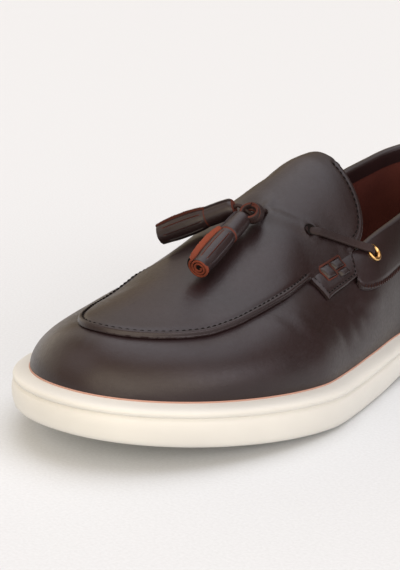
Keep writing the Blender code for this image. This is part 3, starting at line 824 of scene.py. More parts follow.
def cut_round(obj, at, radius, depth):
    """Punch a round hole through a piece along a frame's Z."""
    builder = bmesh.new()
    bmesh.ops.create_cone(builder, cap_ends=True, segments=32, radius1=radius, radius2=radius,
                          depth=depth)
    mesh = bpy.data.meshes.new("punch")
    builder.to_mesh(mesh)
    builder.free()
    punch = bpy.data.objects.new("punch", mesh)
    bpy.context.scene.collection.objects.link(punch)
    punch.matrix_world = at
    hole = obj.modifiers.new("hole", "BOOLEAN")
    hole.operation = "DIFFERENCE"
    hole.solver = "EXACT"
    hole.object = punch
    settle(obj)
    bpy.data.objects.remove(punch, do_unlink=True)


PUNCH_SPARE = 0.4 * MM
PUNCH_DEPTH = 16 * MM


def punch_eyelets(obj):
    for side, _ in SIDES:
        cut_round(obj, eyelet_frame(side), EYELET_BORE + PUNCH_SPARE, PUNCH_DEPTH)


def grid_verts(builder, grid):
    return [[builder.verts.new(point) for point in row] for row in grid]


def tube(builder, rings):
    """A skin over rings of points, closed at both ends."""
    verts = grid_verts(builder, rings)
    quad_strips(builder, verts, closed=True)
    builder.faces.new(verts[0])
    builder.faces.new(verts[-1])


def trail(points):
    """A finder of the nearest point on a line on the leather."""
    tree = KDTree(len(points))
    for i, point in enumerate(points):
        tree.insert(point, i)
    tree.balance()
    return tree


def fine_line(points, step=0.15 * MM):
    count = max(2, int(path_length(points) / step))
    return even_points(points, count)


def even_points(points, count):
    """The given number of equal steps along a line."""
    lengths = [0]
    for a, b in zip(points, points[1:]):
        lengths.append(lengths[-1] + (b - a).length)
    spread, k = [], 0
    for i in range(count + 1):
        want = lengths[-1] * i / count
        while k < len(points) - 2 and lengths[k + 1] < want:
            k += 1
        span = max(lengths[k + 1] - lengths[k], 1e-9)
        spread.append(points[k].lerp(points[k + 1], clamp((want - lengths[k]) / span)))
    return spread


# Relief of the leather, given in the shoe's own sizes

Contour = namedtuple("Contour", "away height")
MOC_ROLL = table(
    Contour,
    (0.0, -1.10), (0.35, -0.28), (0.8, 0.32), (1.3, 0.46),
    (1.8, 0.22), (2.2, -0.20), (2.7, -0.18), (3.3, 0.02),
    (4.6, 0.08), (8.0, 0.0),
)
TONGUE_HEM = table(
    Contour,
    (0.0, -0.30), (0.5, 0.05), (1.6, 0.10), (2.3, -0.14),
    (3.2, -0.14), (4.2, 0.10), (8.0, 0.0),
)
TAB_HEM = table(
    Contour,
    (0.0, -0.60), (0.4, -0.12), (0.9, 0.08), (1.5, -0.16),
    (2.1, 0.04), (3.5, 0.0),
)


def tab_spot(side, way, depth, lift):
    leaned = lerp(way, lerp(SEAM_END_WAY, way, TAB_SLANT), depth)
    return lifted(side, leaned, 1 + depth * tab_share(side, way), lift)


def tongue_place(angle):
    way = way_of(THROAT - TONGUE_LENGTH * math.sin(angle) ** TONGUE_SWEEP / LENGTH)
    return way, TONGUE_FULLNESS * math.cos(angle) ** TONGUE_TAPER


TOP = GAP + APRON_THICKNESS
TONGUE_ANGLES = [math.radians(86) * (1 - (1 - i / 26) ** 1.6) for i in range(27)]
TAB_WAYS = columns(THROAT_WAY, SEAM_END_WAY, 26)
TOE_WAYS = columns(SEAM_END_WAY, 1, 104)
HEEL_WAYS = columns(0, THROAT_WAY, 110)
TAB_ROWS = columns(0, 0.8, 8) + [0.86, 0.91, 0.95, 0.98, 1.0]


def seam_line(side):
    return [lifted(side, way, 1, TOP) for way in TOE_WAYS]


def tab_line(side):
    front = [tab_spot(side, SEAM_END_WAY, depth, TOP) for depth in columns(0, 1, 12)]
    below = [tab_spot(side, way, 1, TOP) for way in reversed(TAB_WAYS)]
    rear = [tab_spot(side, THROAT_WAY, depth, TOP) for depth in columns(1, 0, 12)]
    return front + below[1:] + rear[1:]


def tongue_line(side):
    line = []
    for angle in TONGUE_ANGLES:
        way, end = tongue_place(angle)
        line.append(lifted(side, way, end, TOP))
    return line


SEAM_TRAIL = trail([p for side in (1, -1) for p in fine_line(seam_line(side))])
TAB_TRAIL = trail([p for side in (1, -1) for p in fine_line(tab_line(side))])
TONGUE_TRAIL = trail([p for side in (1, -1) for p in fine_line(tongue_line(side))])


def tunnel_line(side):
    """The lace's hidden run under the apron, from the middle hole to a slit."""
    hole = surface_spot(1, HOLE_STATION, HOLE_REACH, 0)
    slit = surface_spot(side, SLIT_STATION, SLIT_REACH, 0)
    if side > 0:
        middle = surface_spot(1, lerp(HOLE_STATION, SLIT_STATION, 0.45), 0.46, 0)
        return fine_line(smooth_path([hole, middle, slit], 20))
    ridge = surface_spot(1, 0.632, 0.0, 0)
    middle = surface_spot(-1, 0.610, 0.40, 0)
    return fine_line(smooth_path([hole, ridge, middle, slit], 30))


TUNNEL_TRAIL = trail([p for side in (1, -1) for p in tunnel_line(side)])
SLITS = {side: surface_spot(side, SLIT_STATION, SLIT_REACH, 0) for side in (1, -1)}
HOLE = surface_spot(1, HOLE_STATION, HOLE_REACH, 0)


def apron_relief(point):
    """How far the apron's leather stands from its plain top, in metres."""
    seam = SEAM_TRAIL.find(point)[2] / MM
    tab = TAB_TRAIL.find(point)[2] / MM
    tongue = TONGUE_TRAIL.find(point)[2] / MM
    tunnel = TUNNEL_TRAIL.find(point)[2] / MM
    height = along(MOC_ROLL, "height", seam) * ease(tab / 2.5)
    height += along(TAB_HEM, "height", tab) * ease(seam / 2.0)
    height += along(TONGUE_HEM, "height", tongue) * ease(tab / 3.0)
    ridge = 0.85 if point.x > HOLE.x - 2 * MM else 0.25
    height += ridge * (bell(tunnel, 3.2) - 0.18 * bell(tunnel - 5.5, 2.2))
    for mouth in (*SLITS.values(), HOLE):
        away = (point - mouth).length / MM
        height += 0.30 * bell(away - 3.0, 0.9) - 1.2 * bell(away, 1.7)
    return height * MM


# Soft creases of the skirt: where each starts and ends, its half width and its height
Crease = namedtuple("Crease", "side station reach to_station to_reach width height")
CREASES = table(
    Crease,
    (1, 0.640, 1.25, 0.600, 1.40, 1.3, -0.45),
    (1, 0.646, 1.21, 0.604, 1.34, 1.8, 0.35),
    (1, 0.610, 1.42, 0.560, 1.50, 1.6, -0.30),
    (1, 0.655, 1.40, 0.640, 1.70, 2.2, 0.28),
    (1, 0.640, 1.42, 0.622, 1.72, 1.8, -0.25),
    (1, 0.620, 1.45, 0.600, 1.75, 2.2, 0.25),
    (1, 0.602, 1.48, 0.580, 1.78, 1.8, -0.22),
    (1, 0.720, 1.20, 0.690, 1.52, 3.4, 0.30),
    (1, 0.704, 1.20, 0.672, 1.50, 2.6, -0.26),
    (1, 0.560, 1.42, 0.500, 1.60, 3.0, 0.30),
    (1, 0.545, 1.50, 0.480, 1.72, 2.6, -0.24),
    (1, 0.598, 1.40, 0.585, 1.62, 1.1, -0.22),
    (1, 0.588, 1.40, 0.572, 1.66, 1.3, 0.22),
    (1, 0.574, 1.38, 0.556, 1.62, 1.0, -0.20),
    (1, 0.560, 1.36, 0.540, 1.60, 1.2, 0.18),
    (1, 0.762, 1.12, 0.735, 1.36, 3.0, 0.24),
    (1, 0.748, 1.12, 0.722, 1.38, 2.4, -0.22),
    (-1, 0.640, 1.28, 0.600, 1.48, 1.8, -0.40),
    (-1, 0.652, 1.26, 0.612, 1.44, 2.2, 0.30),
    (-1, 0.690, 1.25, 0.660, 1.60, 3.0, 0.28),
    (-1, 0.672, 1.30, 0.642, 1.62, 2.4, -0.26),
    (-1, 0.600, 1.50, 0.560, 1.74, 2.6, 0.26),
)


def crease_lines():
    lines = []
    for crease in CREASES:
        steps = columns(0, 1, 10)
        points = [
            skin(crease.side, way_of(lerp(crease.station, crease.to_station, t)),
                 lerp(crease.reach, crease.to_reach, t) + 0.03 * math.sin(math.pi * t))
            for t in steps
        ]
        lines.append((crease, fine_line(points, 0.8 * MM)))
    return [(crease, line, trail(line)) for crease, line in lines]


CREASE_LINES = crease_lines()


def skirt_relief(point, side):
    height = 0
    for crease, line, tree in CREASE_LINES:
        if crease.side != side:
            continue
        nearest, index, away = tree.find(point)
        if away > 4 * crease.width * MM:
            continue
        fade = math.sin(math.pi * clamp((index + 0.5) / len(line))) ** 0.7
        height += crease.height * fade * bell(away / MM, crease.width)
    soft = noise.noise(point * 55) * 0.16 + noise.noise(point * 140) * 0.05
    return (height + soft) * MM


# Leather pieces

NEAR_EDGE = (7.6, 6.4, 5.4, 4.6, 3.9, 3.3, 2.9, 2.6, 2.3, 2.0, 1.7, 1.4, 1.1, 0.8, 0.55, 0.35,
             0.2, 0.08, 0.0)


def fine_reaches(side, way, end):
    """Rows from the ridge to an edge, close together near the edge."""
    span = crown_length(side, way) * end
    start = end * (1 - NEAR_EDGE[0] * MM / span)
    return columns(0, start, 24)[:-1] + [end * (1 - away * MM / span) for away in NEAR_EDGE]


def on_apron(side, way, reach, lift=0.0):
    normal = shared_normal(side, way, reach)
    plain = skin(side, way, reach) + normal * TOP
    return plain + normal * (apron_relief(plain) + lift)


def on_tab(side, way, depth):
    """A place on the tab's worked leather, and its normal."""
    plain = tab_spot(side, way, depth, TOP)
    normal = (plain - tab_spot(side, way, depth, 0)).normalized()
    return plain + normal * apron_relief(plain), normal


def lined_sheet(builder, top, under, ends, edges):
    """A leather's top and its lined under side, joined at the given end rows and edges."""
    leather, lining = 0, 1
    top, under = grid_verts(builder, top), grid_verts(builder, under)
    quad_strips(builder, top, material=leather)
    quad_strips(builder, under, material=lining)
    for end in ends:
        quad_strips(builder, [top[end], under[end]], material=leather)
    for rows in edges:
        rims = [[row[-1] for row in sheet[rows]] for sheet in (top, under)]
        quad_strips(builder, rims, material=leather)


def make_apron(materials):
    """Apron, tabs and tongue as one leather, with the rolled moc seam at its edge."""
    builder = bmesh.new()
    for side, _ in SIDES:
        lines = [tongue_place(angle) for angle in reversed(TONGUE_ANGLES[1:])]
        tongue_edge = slice(0, len(lines) + 1)
        seam_edge = slice(len(lines) + len(TAB_WAYS) - 1, None)
        lines += [(way, 1) for way in TAB_WAYS[:-1] + TOE_WAYS]
        crown = [[(way, reach) for reach in fine_reaches(side, way, end)] for way, end in lines]
        lined_sheet(builder, [[on_apron(side, *spot) for spot in row] for row in crown],
                    [[lifted(side, *spot, GAP) for spot in row] for row in crown],
                    (0,), (tongue_edge, seam_edge))
        lined_sheet(builder, [[on_tab(side, way, depth)[0] for depth in TAB_ROWS] for way in TAB_WAYS],
                    [[tab_spot(side, way, depth, GAP) for depth in TAB_ROWS] for way in TAB_WAYS],
                    (0, -1), (slice(None),))
    top_middle = on_apron(1, way_of(0.7), 0.5)
    mesh = finish_mesh("apron", builder, (top_middle, Vector((0, 0, 1))))
    return add_piece("apron", mesh, (materials["brown leather"], materials["red brown lining"]),
                     ["apron_tongue"])


def on_upper(side, way, reach):
    """A place on the worked skirt, which stays plain along its edges."""
    point = skin(side, way, reach)
    keep = ease((reach - 1) / 0.08) * ease((2 - reach) / 0.08)
    keep *= ease(way / 0.02) * ease((1 - way) / 0.02)
    return point + shared_normal(side, way, reach) * skirt_relief(point, side) * keep


def make_upper(materials):
    """The shoe's body: the skirt and quarters as one wall, lined inside."""
    builder = bmesh.new()
    front_ways = TAB_WAYS[:-1] + TOE_WAYS
    for side, _ in SIDES:
        rows = [[on_upper(side, way, reach) for reach in columns(1, 2, 34)]
                for way in HEEL_WAYS[:-1] + front_ways]
        quad_strips(builder, grid_verts(builder, rows))
        crown = [[skin(side, way, reach) for reach in columns(0, 1, 12)] for way in front_ways]
        quad_strips(builder, grid_verts(builder, crown))
    mesh = finish_mesh("upper_leather", builder, (skin(1, 0, 1.5), Vector((0, 1, 0))))
    upper = add_piece("upper_leather", mesh,
                      (materials["brown leather"], materials["red brown lining"]),
                      ["upper"])
    thicken(upper, WALL, 1)
    punch_eyelets(upper)


COLLAR_ROWS = 20
COLLAR_ROLL = 7
TOPLINE_RADIUS = 2.15 * MM
TOPLINE_DROP = 1.5 * MM


def collar_section(side, way):
    """The band's section: up its face, over the topline and a little way down inside."""
    share = collar_share(side, way)
    section = [collar_spot(side, way, share, 0.1 * MM)]
    for step in columns(0, 1, COLLAR_ROWS):
        down = share * (1 - step * 0.96)
        away = step * COLLAR_DEPTH / MM
        puff = 0.35 * math.sin(math.pi * clamp(step)) ** 0.8
        rise = ease(away / 0.9) * COLLAR_THICKNESS / MM + puff - 0.28 * bell(away - 2.0, 0.5)
        section.append(collar_spot(side, way, down, GAP + rise * MM))
    top = skin(side, way, 1.0)
    out = shared_normal(side, way, 1.0 + share * 0.05)
    fall = (skin(side, way, 1 + share * 0.3) - top).normalized()
    middle = top - out * 0.35 * MM + fall * 0.7 * MM
    for step in columns(0, 1, COLLAR_ROLL):
        angle = math.pi * step
        section.append(middle + out * TOPLINE_RADIUS * math.cos(angle)
                       - fall * TOPLINE_DROP * math.sin(angle))
    for down in (2, 4, 6.5):
        section.append(middle - out * (TOPLINE_RADIUS - 0.03 * down * MM) + fall * down * MM)
    return section


def make_collar(materials):
    """The padded band round the opening, folded over the topline."""
    front_way = way_of(THROAT + 0.8 * MM / LENGTH)
    ways = columns(0, way_of(THROAT - COLLAR_DEPTH / LENGTH), 84)
    ways += columns(ways[-1], front_way, 34)[1:]
    builder = bmesh.new()
    for side, _ in SIDES:
        quad_strips(builder, grid_verts(builder, [collar_section(side, way) for way in ways]))
    back = lifted(1, 0, 1.1, GAP)
    mesh = finish_mesh("collar", builder, (back, Vector((0, 1, 0))))
    collar = add_piece("collar", mesh, (materials["brown leather"],), ["collar_band"])
    punch_eyelets(collar)


# Each seam's thread: its pitch, its stitches' length and radius in mm, and how they lean
Thread = namedtuple("Thread", "pitch length radius slant finish")
THREADS = {
    "moc": Thread(2.5, 1.75, 0.32, 0.16, "dark thread"),
    "tongue": Thread(2.6, 1.85, 0.30, 0.0, "dark thread"),
    "tab": Thread(2.1, 1.4, 0.26, 0.0, "dark thread"),
    "collar": Thread(1.9, 2.1, 0.17, 1.0, "red thread"),
}


def make_stitches(seam, side, label, spots, materials):
    """Sewn stitches along a line of places on the leather, each a point and its normal."""
    thread = THREADS[seam]
    slant = thread.slant * side
    points = [point for point, normal in spots]
    finder = trail(points)
    places = even_points(points, max(2, round(path_length(points) / (thread.pitch * MM))))
    builder = bmesh.new()
    for before, after in zip(places, places[1:]):
        middle = (before + after) / 2
        normal = spots[finder.find(middle)[1]][1]
        ahead = after - before
        ahead = (ahead - normal * ahead.dot(normal)).normalized()
        across = normal.cross(ahead)
        ahead = (ahead * math.cos(slant) + across * math.sin(slant)).normalized()
        across = normal.cross(ahead)
        rings = []
        for step in columns(-1, 1, 5):
            size = thread.radius * MM * (1 - 0.55 * step ** 4)
            rise = thread.radius * MM * (0.35 - 0.7 * step ** 2)
            centre = middle + ahead * step * thread.length * MM / 2 + normal * rise
            rings.append([
                centre + (across * math.cos(a) + normal * math.sin(a)) * size
                for a in columns(0, math.tau, 6)[:-1]
            ])
        tube(builder, rings)
    name = f"{seam}_stitches_{label}"
    add_piece(name, finish_mesh(name, builder), (materials[thread.finish],), smooth=80)


def surface_of(obj):
    mesh = obj.data
    return BVHTree.FromPolygons([v.co for v in mesh.vertices], [p.vertices for p in mesh.polygons])


def apron_spot(side, way, reach):
    return on_apron(side, way, reach), shared_normal(side, way, reach)


TOE_LEAD = LENGTH * math.pi / 2 * math.sin(math.pi * SEAM_END_WAY)
MOC_INSET = 2.35 * MM
TONGUE_INSET = 2.8 * MM
TAB_SIDE_INSET = 1.6 * MM
TAB_LOW_INSET = 1.5 * MM
COLLAR_INSET = 1.3 * MM


def tab_stitch_line(side):
    """A little inside the tab's front, lower and rear edges."""
    inset = TAB_SIDE_INSET / (TOE_LEAD * (SEAM_END_WAY - THROAT_WAY))
    ways = columns(lerp(SEAM_END_WAY, THROAT_WAY, inset), lerp(THROAT_WAY, SEAM_END_WAY, inset), 16)
    low = 1 - TAB_LOW_INSET / TAB_DEPTH
    places = [(ways[0], depth) for depth in columns(0.05, low, 8)]
    places += [(way, low) for way in ways[1:]]
    places += [(ways[-1], depth) for depth in columns(low, 0.1, 8)[1:]]
    return [on_tab(side, way, depth) for way, depth in places]


def tongue_stitch_line(side):
    line = []
    for angle in columns(math.radians(5), math.radians(88), 40):
        way, end = tongue_place(angle)
        inset = TONGUE_INSET / crown_length(side, way)
        back = way + TONGUE_INSET * math.sin(angle) / TOE_LEAD
        line.append(apron_spot(side, back, max(end - inset * math.cos(angle), 0)))
    return line


def collar_stitch_line(side):
    line = []
    for way in columns(0.004, way_of(THROAT - 1.5 * MM / LENGTH), 150):
        down = collar_share(side, way) - COLLAR_INSET / wall_length(side, way)
        point = collar_spot(side, way, down, GAP + COLLAR_THICKNESS + 0.05 * MM)
        line.append((point, (point - collar_spot(side, way, down, 0)).normalized()))
    return line


def make_seams(materials):
    """All the thread that shows."""
    for side, label in SIDES:
        moc = [apron_spot(side, way, 1 - MOC_INSET / crown_length(side, way)) for way in TOE_WAYS[1:]]
        lines = {"moc": moc, "tongue": tongue_stitch_line(side), "tab": tab_stitch_line(side),
                 "collar": collar_stitch_line(side)}
        for seam, spots in lines.items():
            make_stitches(seam, side, label, spots, materials)


# Sole

Step = namedtuple("Step", "inset level")
SOLE_SIDE = table(
    Step,
    (4.5, 0.000), (3.2, 0.012), (2.2, 0.04), (1.25, 0.10), (0.75, 0.18),
    (0.35, 0.28), (0.10, 0.38), (0.0, 0.48), (0.10, 0.57), (0.42, 0.655),
    (0.85, 0.700), (1.40, 0.722), (1.55, 0.738), (1.30, 0.752),
    (0.85, 0.775), (0.58, 0.805), (0.50, 0.84), (0.72, 0.875),
    (1.30, 0.905), (2.40, 0.932), (4.20, 0.955), (6.2, 0.975), (7.4, 0.99),
)


def sole_ring(ways, inset, height_at):
    lateral = [(1, way) for way in ways]
    medial = [(-1, way) for way in reversed(ways[1:-1])]
    ring = []
    for side, way in lateral + medial:
        point = outline(side, way) - outward(side, way) * inset
        point.z = height_at(station_of(way))
        ring.append(point)
    return ring


def cross_cap(builder, row):
    """Close a ring of the sole with strips from side to side."""
    count = len(row)
    for k in range(count // 2):
        corners = [row[k], row[k + 1], row[(count - k - 1) % count], row[(count - k) % count]]
        builder.faces.new(list(dict.fromkeys(corners)))


def slab(name, rings):
    """A closed piece from the sole's rings, flat at its bottom and its top."""
    builder = bmesh.new()
    verts = grid_verts(builder, rings)
    quad_strips(builder, verts, closed=True)
    cross_cap(builder, verts[0])
    cross_cap(builder, verts[-1])
    return finish_mesh(name, builder)


def make_sole(materials):
    """The cup sole, from its tread over the rounded wall and the rim to its inside."""
    ways = columns(0, 1, 170)
    rings = [sole_ring(ways, TREAD_TUCK + 1.2 * MM, tread_height)]
    for step in SOLE_SIDE:
        def height_at(station, level=step.level):
            return lerp(tread_height(station), feather_height(station), level)
        rings.append(sole_ring(ways, step.inset * BEAD, height_at))
    rings.append(sole_ring(ways, LEDGE + 0.2 * MM, lambda s: feather_height(s) + 0.05 * MM))
    rings.append(sole_ring(ways, LEDGE + WALL + 1.5 * MM, lambda s: feather_height(s) - 0.3 * MM))
    add_piece("cup_sole", slab("cup_sole", rings), (materials["cream rubber"],),
              ["outsole"], smooth=50)


def make_feather_line(materials):
    """A pinkish-brown line where the leather meets the sole: the leather's reflection on the sole's
    ledge, painted on a thin ring.
    """
    ring = sole_ring(columns(0, 1, 150), LEDGE - 0.05 * MM, lambda s: feather_height(s) + 0.12 * MM)
    line = round_line("feather_line", ring, 0.32 * MM, materials["painted leather reflection"], True, 2)
    place_piece("feather_line", line)


def make_insole(materials):
    """The footbed: soft at its rim and a little hollow inside it."""
    inset = LEDGE + WALL + 0.9 * MM
    ways = columns(0, 1, 90)
    rings = []
    for drop, rim in ((0.0, 0.0), (0.75, 0.0), (0.93, 0.35), (1.0, 1.2), (0.97, 4.0), (0.9, 9.0)):
        rings.append(sole_ring(ways, inset + rim * MM,
                               lambda s, d=drop: feather_height(s) + GAP + INSOLE_THICKNESS * d))
    add_piece("footbed", slab("footbed", rings), (materials["red brown lining"],),
              ["insole"])


# Eyelets, thongs, weave and tassels

Turn = namedtuple("Turn", "radius height")
EYELET_TURNS = table(
    Turn,
    (1.90, -3.4), (2.25, -3.4), (2.30, 0.15), (3.30, 0.12), (3.62, 0.30),
    (3.70, 0.55), (3.58, 0.85), (3.28, 1.08), (2.90, 1.15), (2.50, 1.05),
    (2.20, 0.80), (2.00, 0.45), (1.92, 0.0), (1.90, -1.0),
)


def make_eyelet(label, side, materials):
    builder = bmesh.new()
    at = eyelet_frame(side)
    rings = []
    for turn in EYELET_TURNS:
        rings.append([
            at @ (Vector((turn.radius * math.cos(a), turn.radius * math.sin(a), turn.height)) * MM)
            for a in columns(0, math.tau, 48)[:-1]
        ])
    verts = grid_verts(builder, rings)
    quad_strips(builder, verts + verts[:1], closed=True)
    mesh = finish_mesh(f"brass_eyelet_{label}", builder)
    add_piece(f"brass_eyelet_{label}", mesh, (materials["aged brass"],),
              [f"eyelet_{label}"])


def strap_mesh(name, path, faces, widths, thickness, sides=16, cut_sides=False):
    """A flat thong with soft edges along a path, its narrow sides in their own finish if cut."""
    builder = bmesh.new()
    rings = []
    for k, point in enumerate(path):
        ahead = (path[min(k + 1, len(path) - 1)] - path[max(k - 1, 0)]).normalized()
        face = (faces[k] - ahead * faces[k].dot(ahead)).normalized()
        across = ahead.cross(face)
        ring = []
        for a in columns(0, math.tau, sides)[:-1]:
            x = math.copysign(abs(math.cos(a)) ** 0.55, math.cos(a)) * widths[k] / 2
            z = math.copysign(abs(math.sin(a)) ** 0.7, math.sin(a)) * thickness / 2
            ring.append(point + across * x + face * z)
        rings.append(ring)
    tube(builder, rings)
    if cut_sides:
        for k, face in enumerate(list(builder.faces)[:-2]):
            face.material_index = int(k % sides in (0, sides // 2 - 1, sides // 2, sides - 1))
    return finish_mesh(name, builder)


RIM_HEIGHT = 1.05 * MM
RIM_REACH = 2.6 * MM
BAR_SINK = 0.25 * MM
BAR_STEPS = 64


def make_lace_bar(label, side, materials, leather):
    """The thong from inside its eyelet, over the rim and straight into its slit."""
    at = eyelet_frame(side)
    out = at.to_3x3().col[2]
    seat = THONG_THICKNESS / 2
    slit_way = way_of(SLIT_STATION)
    tilt = shared_normal(side, slit_way, SLIT_REACH)
    mouth = on_apron(side, slit_way, SLIT_REACH)
    toward = mouth - at.translation
    toward = (toward - out * toward.dot(out)).normalized()
    rim = at.translation + out * (RIM_HEIGHT + seat) + toward * RIM_REACH
    landing = mouth + tilt * (seat - BAR_SINK) + (rim - mouth).normalized() * 0.8 * MM
    free = []
    for share in columns(0, 1, 12):
        point = rim.lerp(landing, share)
        near, normal, index, away = leather.find_nearest(point)
        height = (point - near).dot(normal)
        low = (seat + 0.2 * MM) * ease((1 - share) / 0.15)
        free.append(point + normal * max(low - height, 0) if away < 6 * MM else point)
    run = (landing - rim).normalized()
    points = [at.translation - out * 2.6 * MM + toward * 0.1 * MM,
              at.translation - out * 0.4 * MM + toward * 0.3 * MM,
              at.translation + out * 1.15 * MM + toward * 1.3 * MM]
    points += free
    points += [mouth - tilt * 0.6 * MM + run * 0.6 * MM, mouth - tilt * 2.0 * MM + run * 1.2 * MM]
    path = even_points(smooth_path(points, 120), BAR_STEPS)
    faces, widths = [], []
    for k, share in enumerate(columns(0, 1, BAR_STEPS)):
        ahead = (path[min(k + 1, BAR_STEPS)] - path[max(k - 1, 0)]).normalized()
        plain = out.lerp(tilt, share)
        steep = abs(ahead.dot(plain))
        faces.append(plain.lerp(toward if share < 0.5 else run, ease((steep - 0.3) / 0.5)))
        widths.append(THONG_WIDTH * lerp(0.80, 1.04, ease(share / 0.18)))
    mesh = strap_mesh(f"thong_bar_{label}", path, faces, widths, THONG_THICKNESS * 0.85)
    add_piece(f"thong_bar_{label}", mesh, (materials["thong leather"],),
              [f"lace_bar_{label}"])


MOUTH_RINGS = ((1.0, 0.15), (0.8, -0.25), (0.5, -0.6), (0.05, -0.8))
SLIT_RISE = 1.25 * MM
SLIT_SHIFT = 0.5 * MM
SLIT_RADII = (2.7 * MM, 2.4 * MM)
HOLE_RISE = 0.6 * MM
HOLE_RADII = (2.1 * MM, 1.9 * MM)


def make_mouth(name, place, normal, ahead, long_radius, short_radius, material):
    """The mouth of a slit or a hole, sunk in its rolled rim and coloured near black as painted shade.
    """
    across = normal.cross(ahead).normalized()
    builder = bmesh.new()
    rings = []
    for share, drop in MOUTH_RINGS:
        rings.append([
            place + ahead * long_radius * share * math.cos(a)
            + across * short_radius * share * math.sin(a) + normal * drop * MM
            for a in columns(0, math.tau, 28)[:-1]
        ])
    verts = grid_verts(builder, rings)
    quad_strips(builder, verts, closed=True)
    builder.faces.new(verts[-1])
    mesh = finish_mesh(name, builder)
    add_piece(name, mesh, (material,))


def make_slit(label, side, materials):
    """The end of the slit that the lace bar goes into, coloured near black as painted shade."""
    way = way_of(SLIT_STATION)
    at = surface_frame(side, way, SLIT_REACH, 0)
    run = (at.translation - eyelet_frame(side).translation).normalized()
    place = on_apron(side, way, SLIT_REACH, SLIT_RISE) + run * SLIT_SHIFT
    make_mouth(f"slit_mouth_{label}", place, at.to_3x3().col[2], run, *SLIT_RADII,
               materials["painted hollow shade"])


def make_hole(materials):
    """The middle hole that both thongs come out of."""
    way = way_of(HOLE_STATION)
    ahead, across, up = surface_frame(1, way, HOLE_REACH, 0).to_3x3().col
    # The hole's mouth is coloured near black: painted shade inside the hole.
    make_mouth("hole_mouth", on_apron(1, way, HOLE_REACH, HOLE_RISE), up, ahead, *HOLE_RADII,
               materials["painted hollow shade"])


# The woven square: its pads and cut edges, in mm from the middle of its top edge
Pad = namedtuple("Pad", "front rear top bottom")
PADS = table(
    Pad,
    (6.4, 0.5, 0.7, 7.2),
    (-0.5, -6.3, 0.7, 5.4),
    (-0.7, -6.2, 6.2, 9.0),
)
STRIPS = table(
    Pad,
    (7.0, 6.3, 0.2, 7.9), (0.5, -0.5, 0.4, 7.6), (-6.2, -6.9, 0.2, 6.3),
    (6.9, -6.9, 0.1, 0.8), (6.8, 0.3, 7.1, 7.8), (-0.5, -6.7, 5.3, 6.0),
)


def weave_spot(side, forward, down, lift):
    """A place on the tab, in millimetres from the middle of the weave's top edge."""
    middle = way_of(WEAVE_STATION)
    per_way = LENGTH * math.pi / 2 * math.sin(math.pi * middle)
    way = middle + forward * MM / per_way
    reach = WEAVE_TOP + down * MM / wall_length(side, middle)
    return lifted(side, way, reach, TOP + lift * MM)


def pillow(builder, side, pad, base, height, steps, material):
    """A strap's crossing as a soft pillow, or as a flat strip where its height is low."""
    rows = []
    for u in columns(-1, 1, steps):
        row = []
        for v in columns(-1, 1, steps):
            dome = (max(1 - abs(u) ** 4, 0) * max(1 - abs(v) ** 4, 0)) ** 0.5
            forward = lerp(pad.front, pad.rear, (u + 1) / 2)
            down = lerp(pad.top, pad.bottom, (v + 1) / 2)
            row.append(weave_spot(side, forward, down, base + height * dome))
        rows.append(row)
    quad_strips(builder, grid_verts(builder, rows), material=material)


def make_weave(label, side, materials):
    builder = bmesh.new()
    for strip in STRIPS:
        pillow(builder, side, strip, -0.2, 0.70, 10, 1)
    for pad in PADS:
        pillow(builder, side, pad, -0.2, 1.45, 16, 0)
    mesh = bpy.data.meshes.new(f"woven_tab_{label}")
    bmesh.ops.recalc_face_normals(builder, faces=builder.faces)
    builder.to_mesh(mesh)
    builder.free()
    add_piece(f"woven_tab_{label}", mesh, (materials["brown leather"], materials["rubbed cut edge"]),
              [f"tab_weave_{label}"], smooth=70)


Ring = namedtuple("Ring", "share fullness")
TASSEL_SHAPE = table(
    Ring,
    (0.00, 0.62), (0.03, 0.74), (0.10, 0.78), (0.20, 0.80), (0.335, 0.80),
    (0.345, 0.80), (0.45, 0.90), (0.62, 0.97), (0.78, 0.96), (0.90, 0.90),
    (0.97, 0.86), (1.00, 0.84),
)


def tassel_frame(which):
    top, end = tassel_axis(which)
    ahead = (end - top).normalized()
    lie = TASSEL_LIES[which]
    lift = skin_normal(lie.side, way_of(lie.top_station), lie.top_reach)
    across = ahead.cross(lift).normalized()
    return top, end, ahead, across, across.cross(ahead)


Wrap = namedtuple("Wrap", "turn cap_step fringe_step")
TASSEL_WRAPS = {
    "near": Wrap(math.radians(47), 0.5 * MM, 2.1 * MM),
    "far": Wrap(math.radians(80), 0.6 * MM, 0.9 * MM),
}
SHEET = 1.25 * MM
TASSEL_SIDES = 108
TASSEL_STEPS = 66
NEAR_CAP_SPARE = 2.6 * MM
SLIT_DEPTH = 0.30 * MM
RAGGED = 0.45 * MM


def tassel_spoke(which, turned):
    """From a tassel's axis outward, turned on from where its strip ends."""
    top, end, ahead, across, lift = tassel_frame(which)
    angle = TASSEL_WRAPS[which].turn - turned
    return across * math.cos(angle) + lift * math.sin(angle)


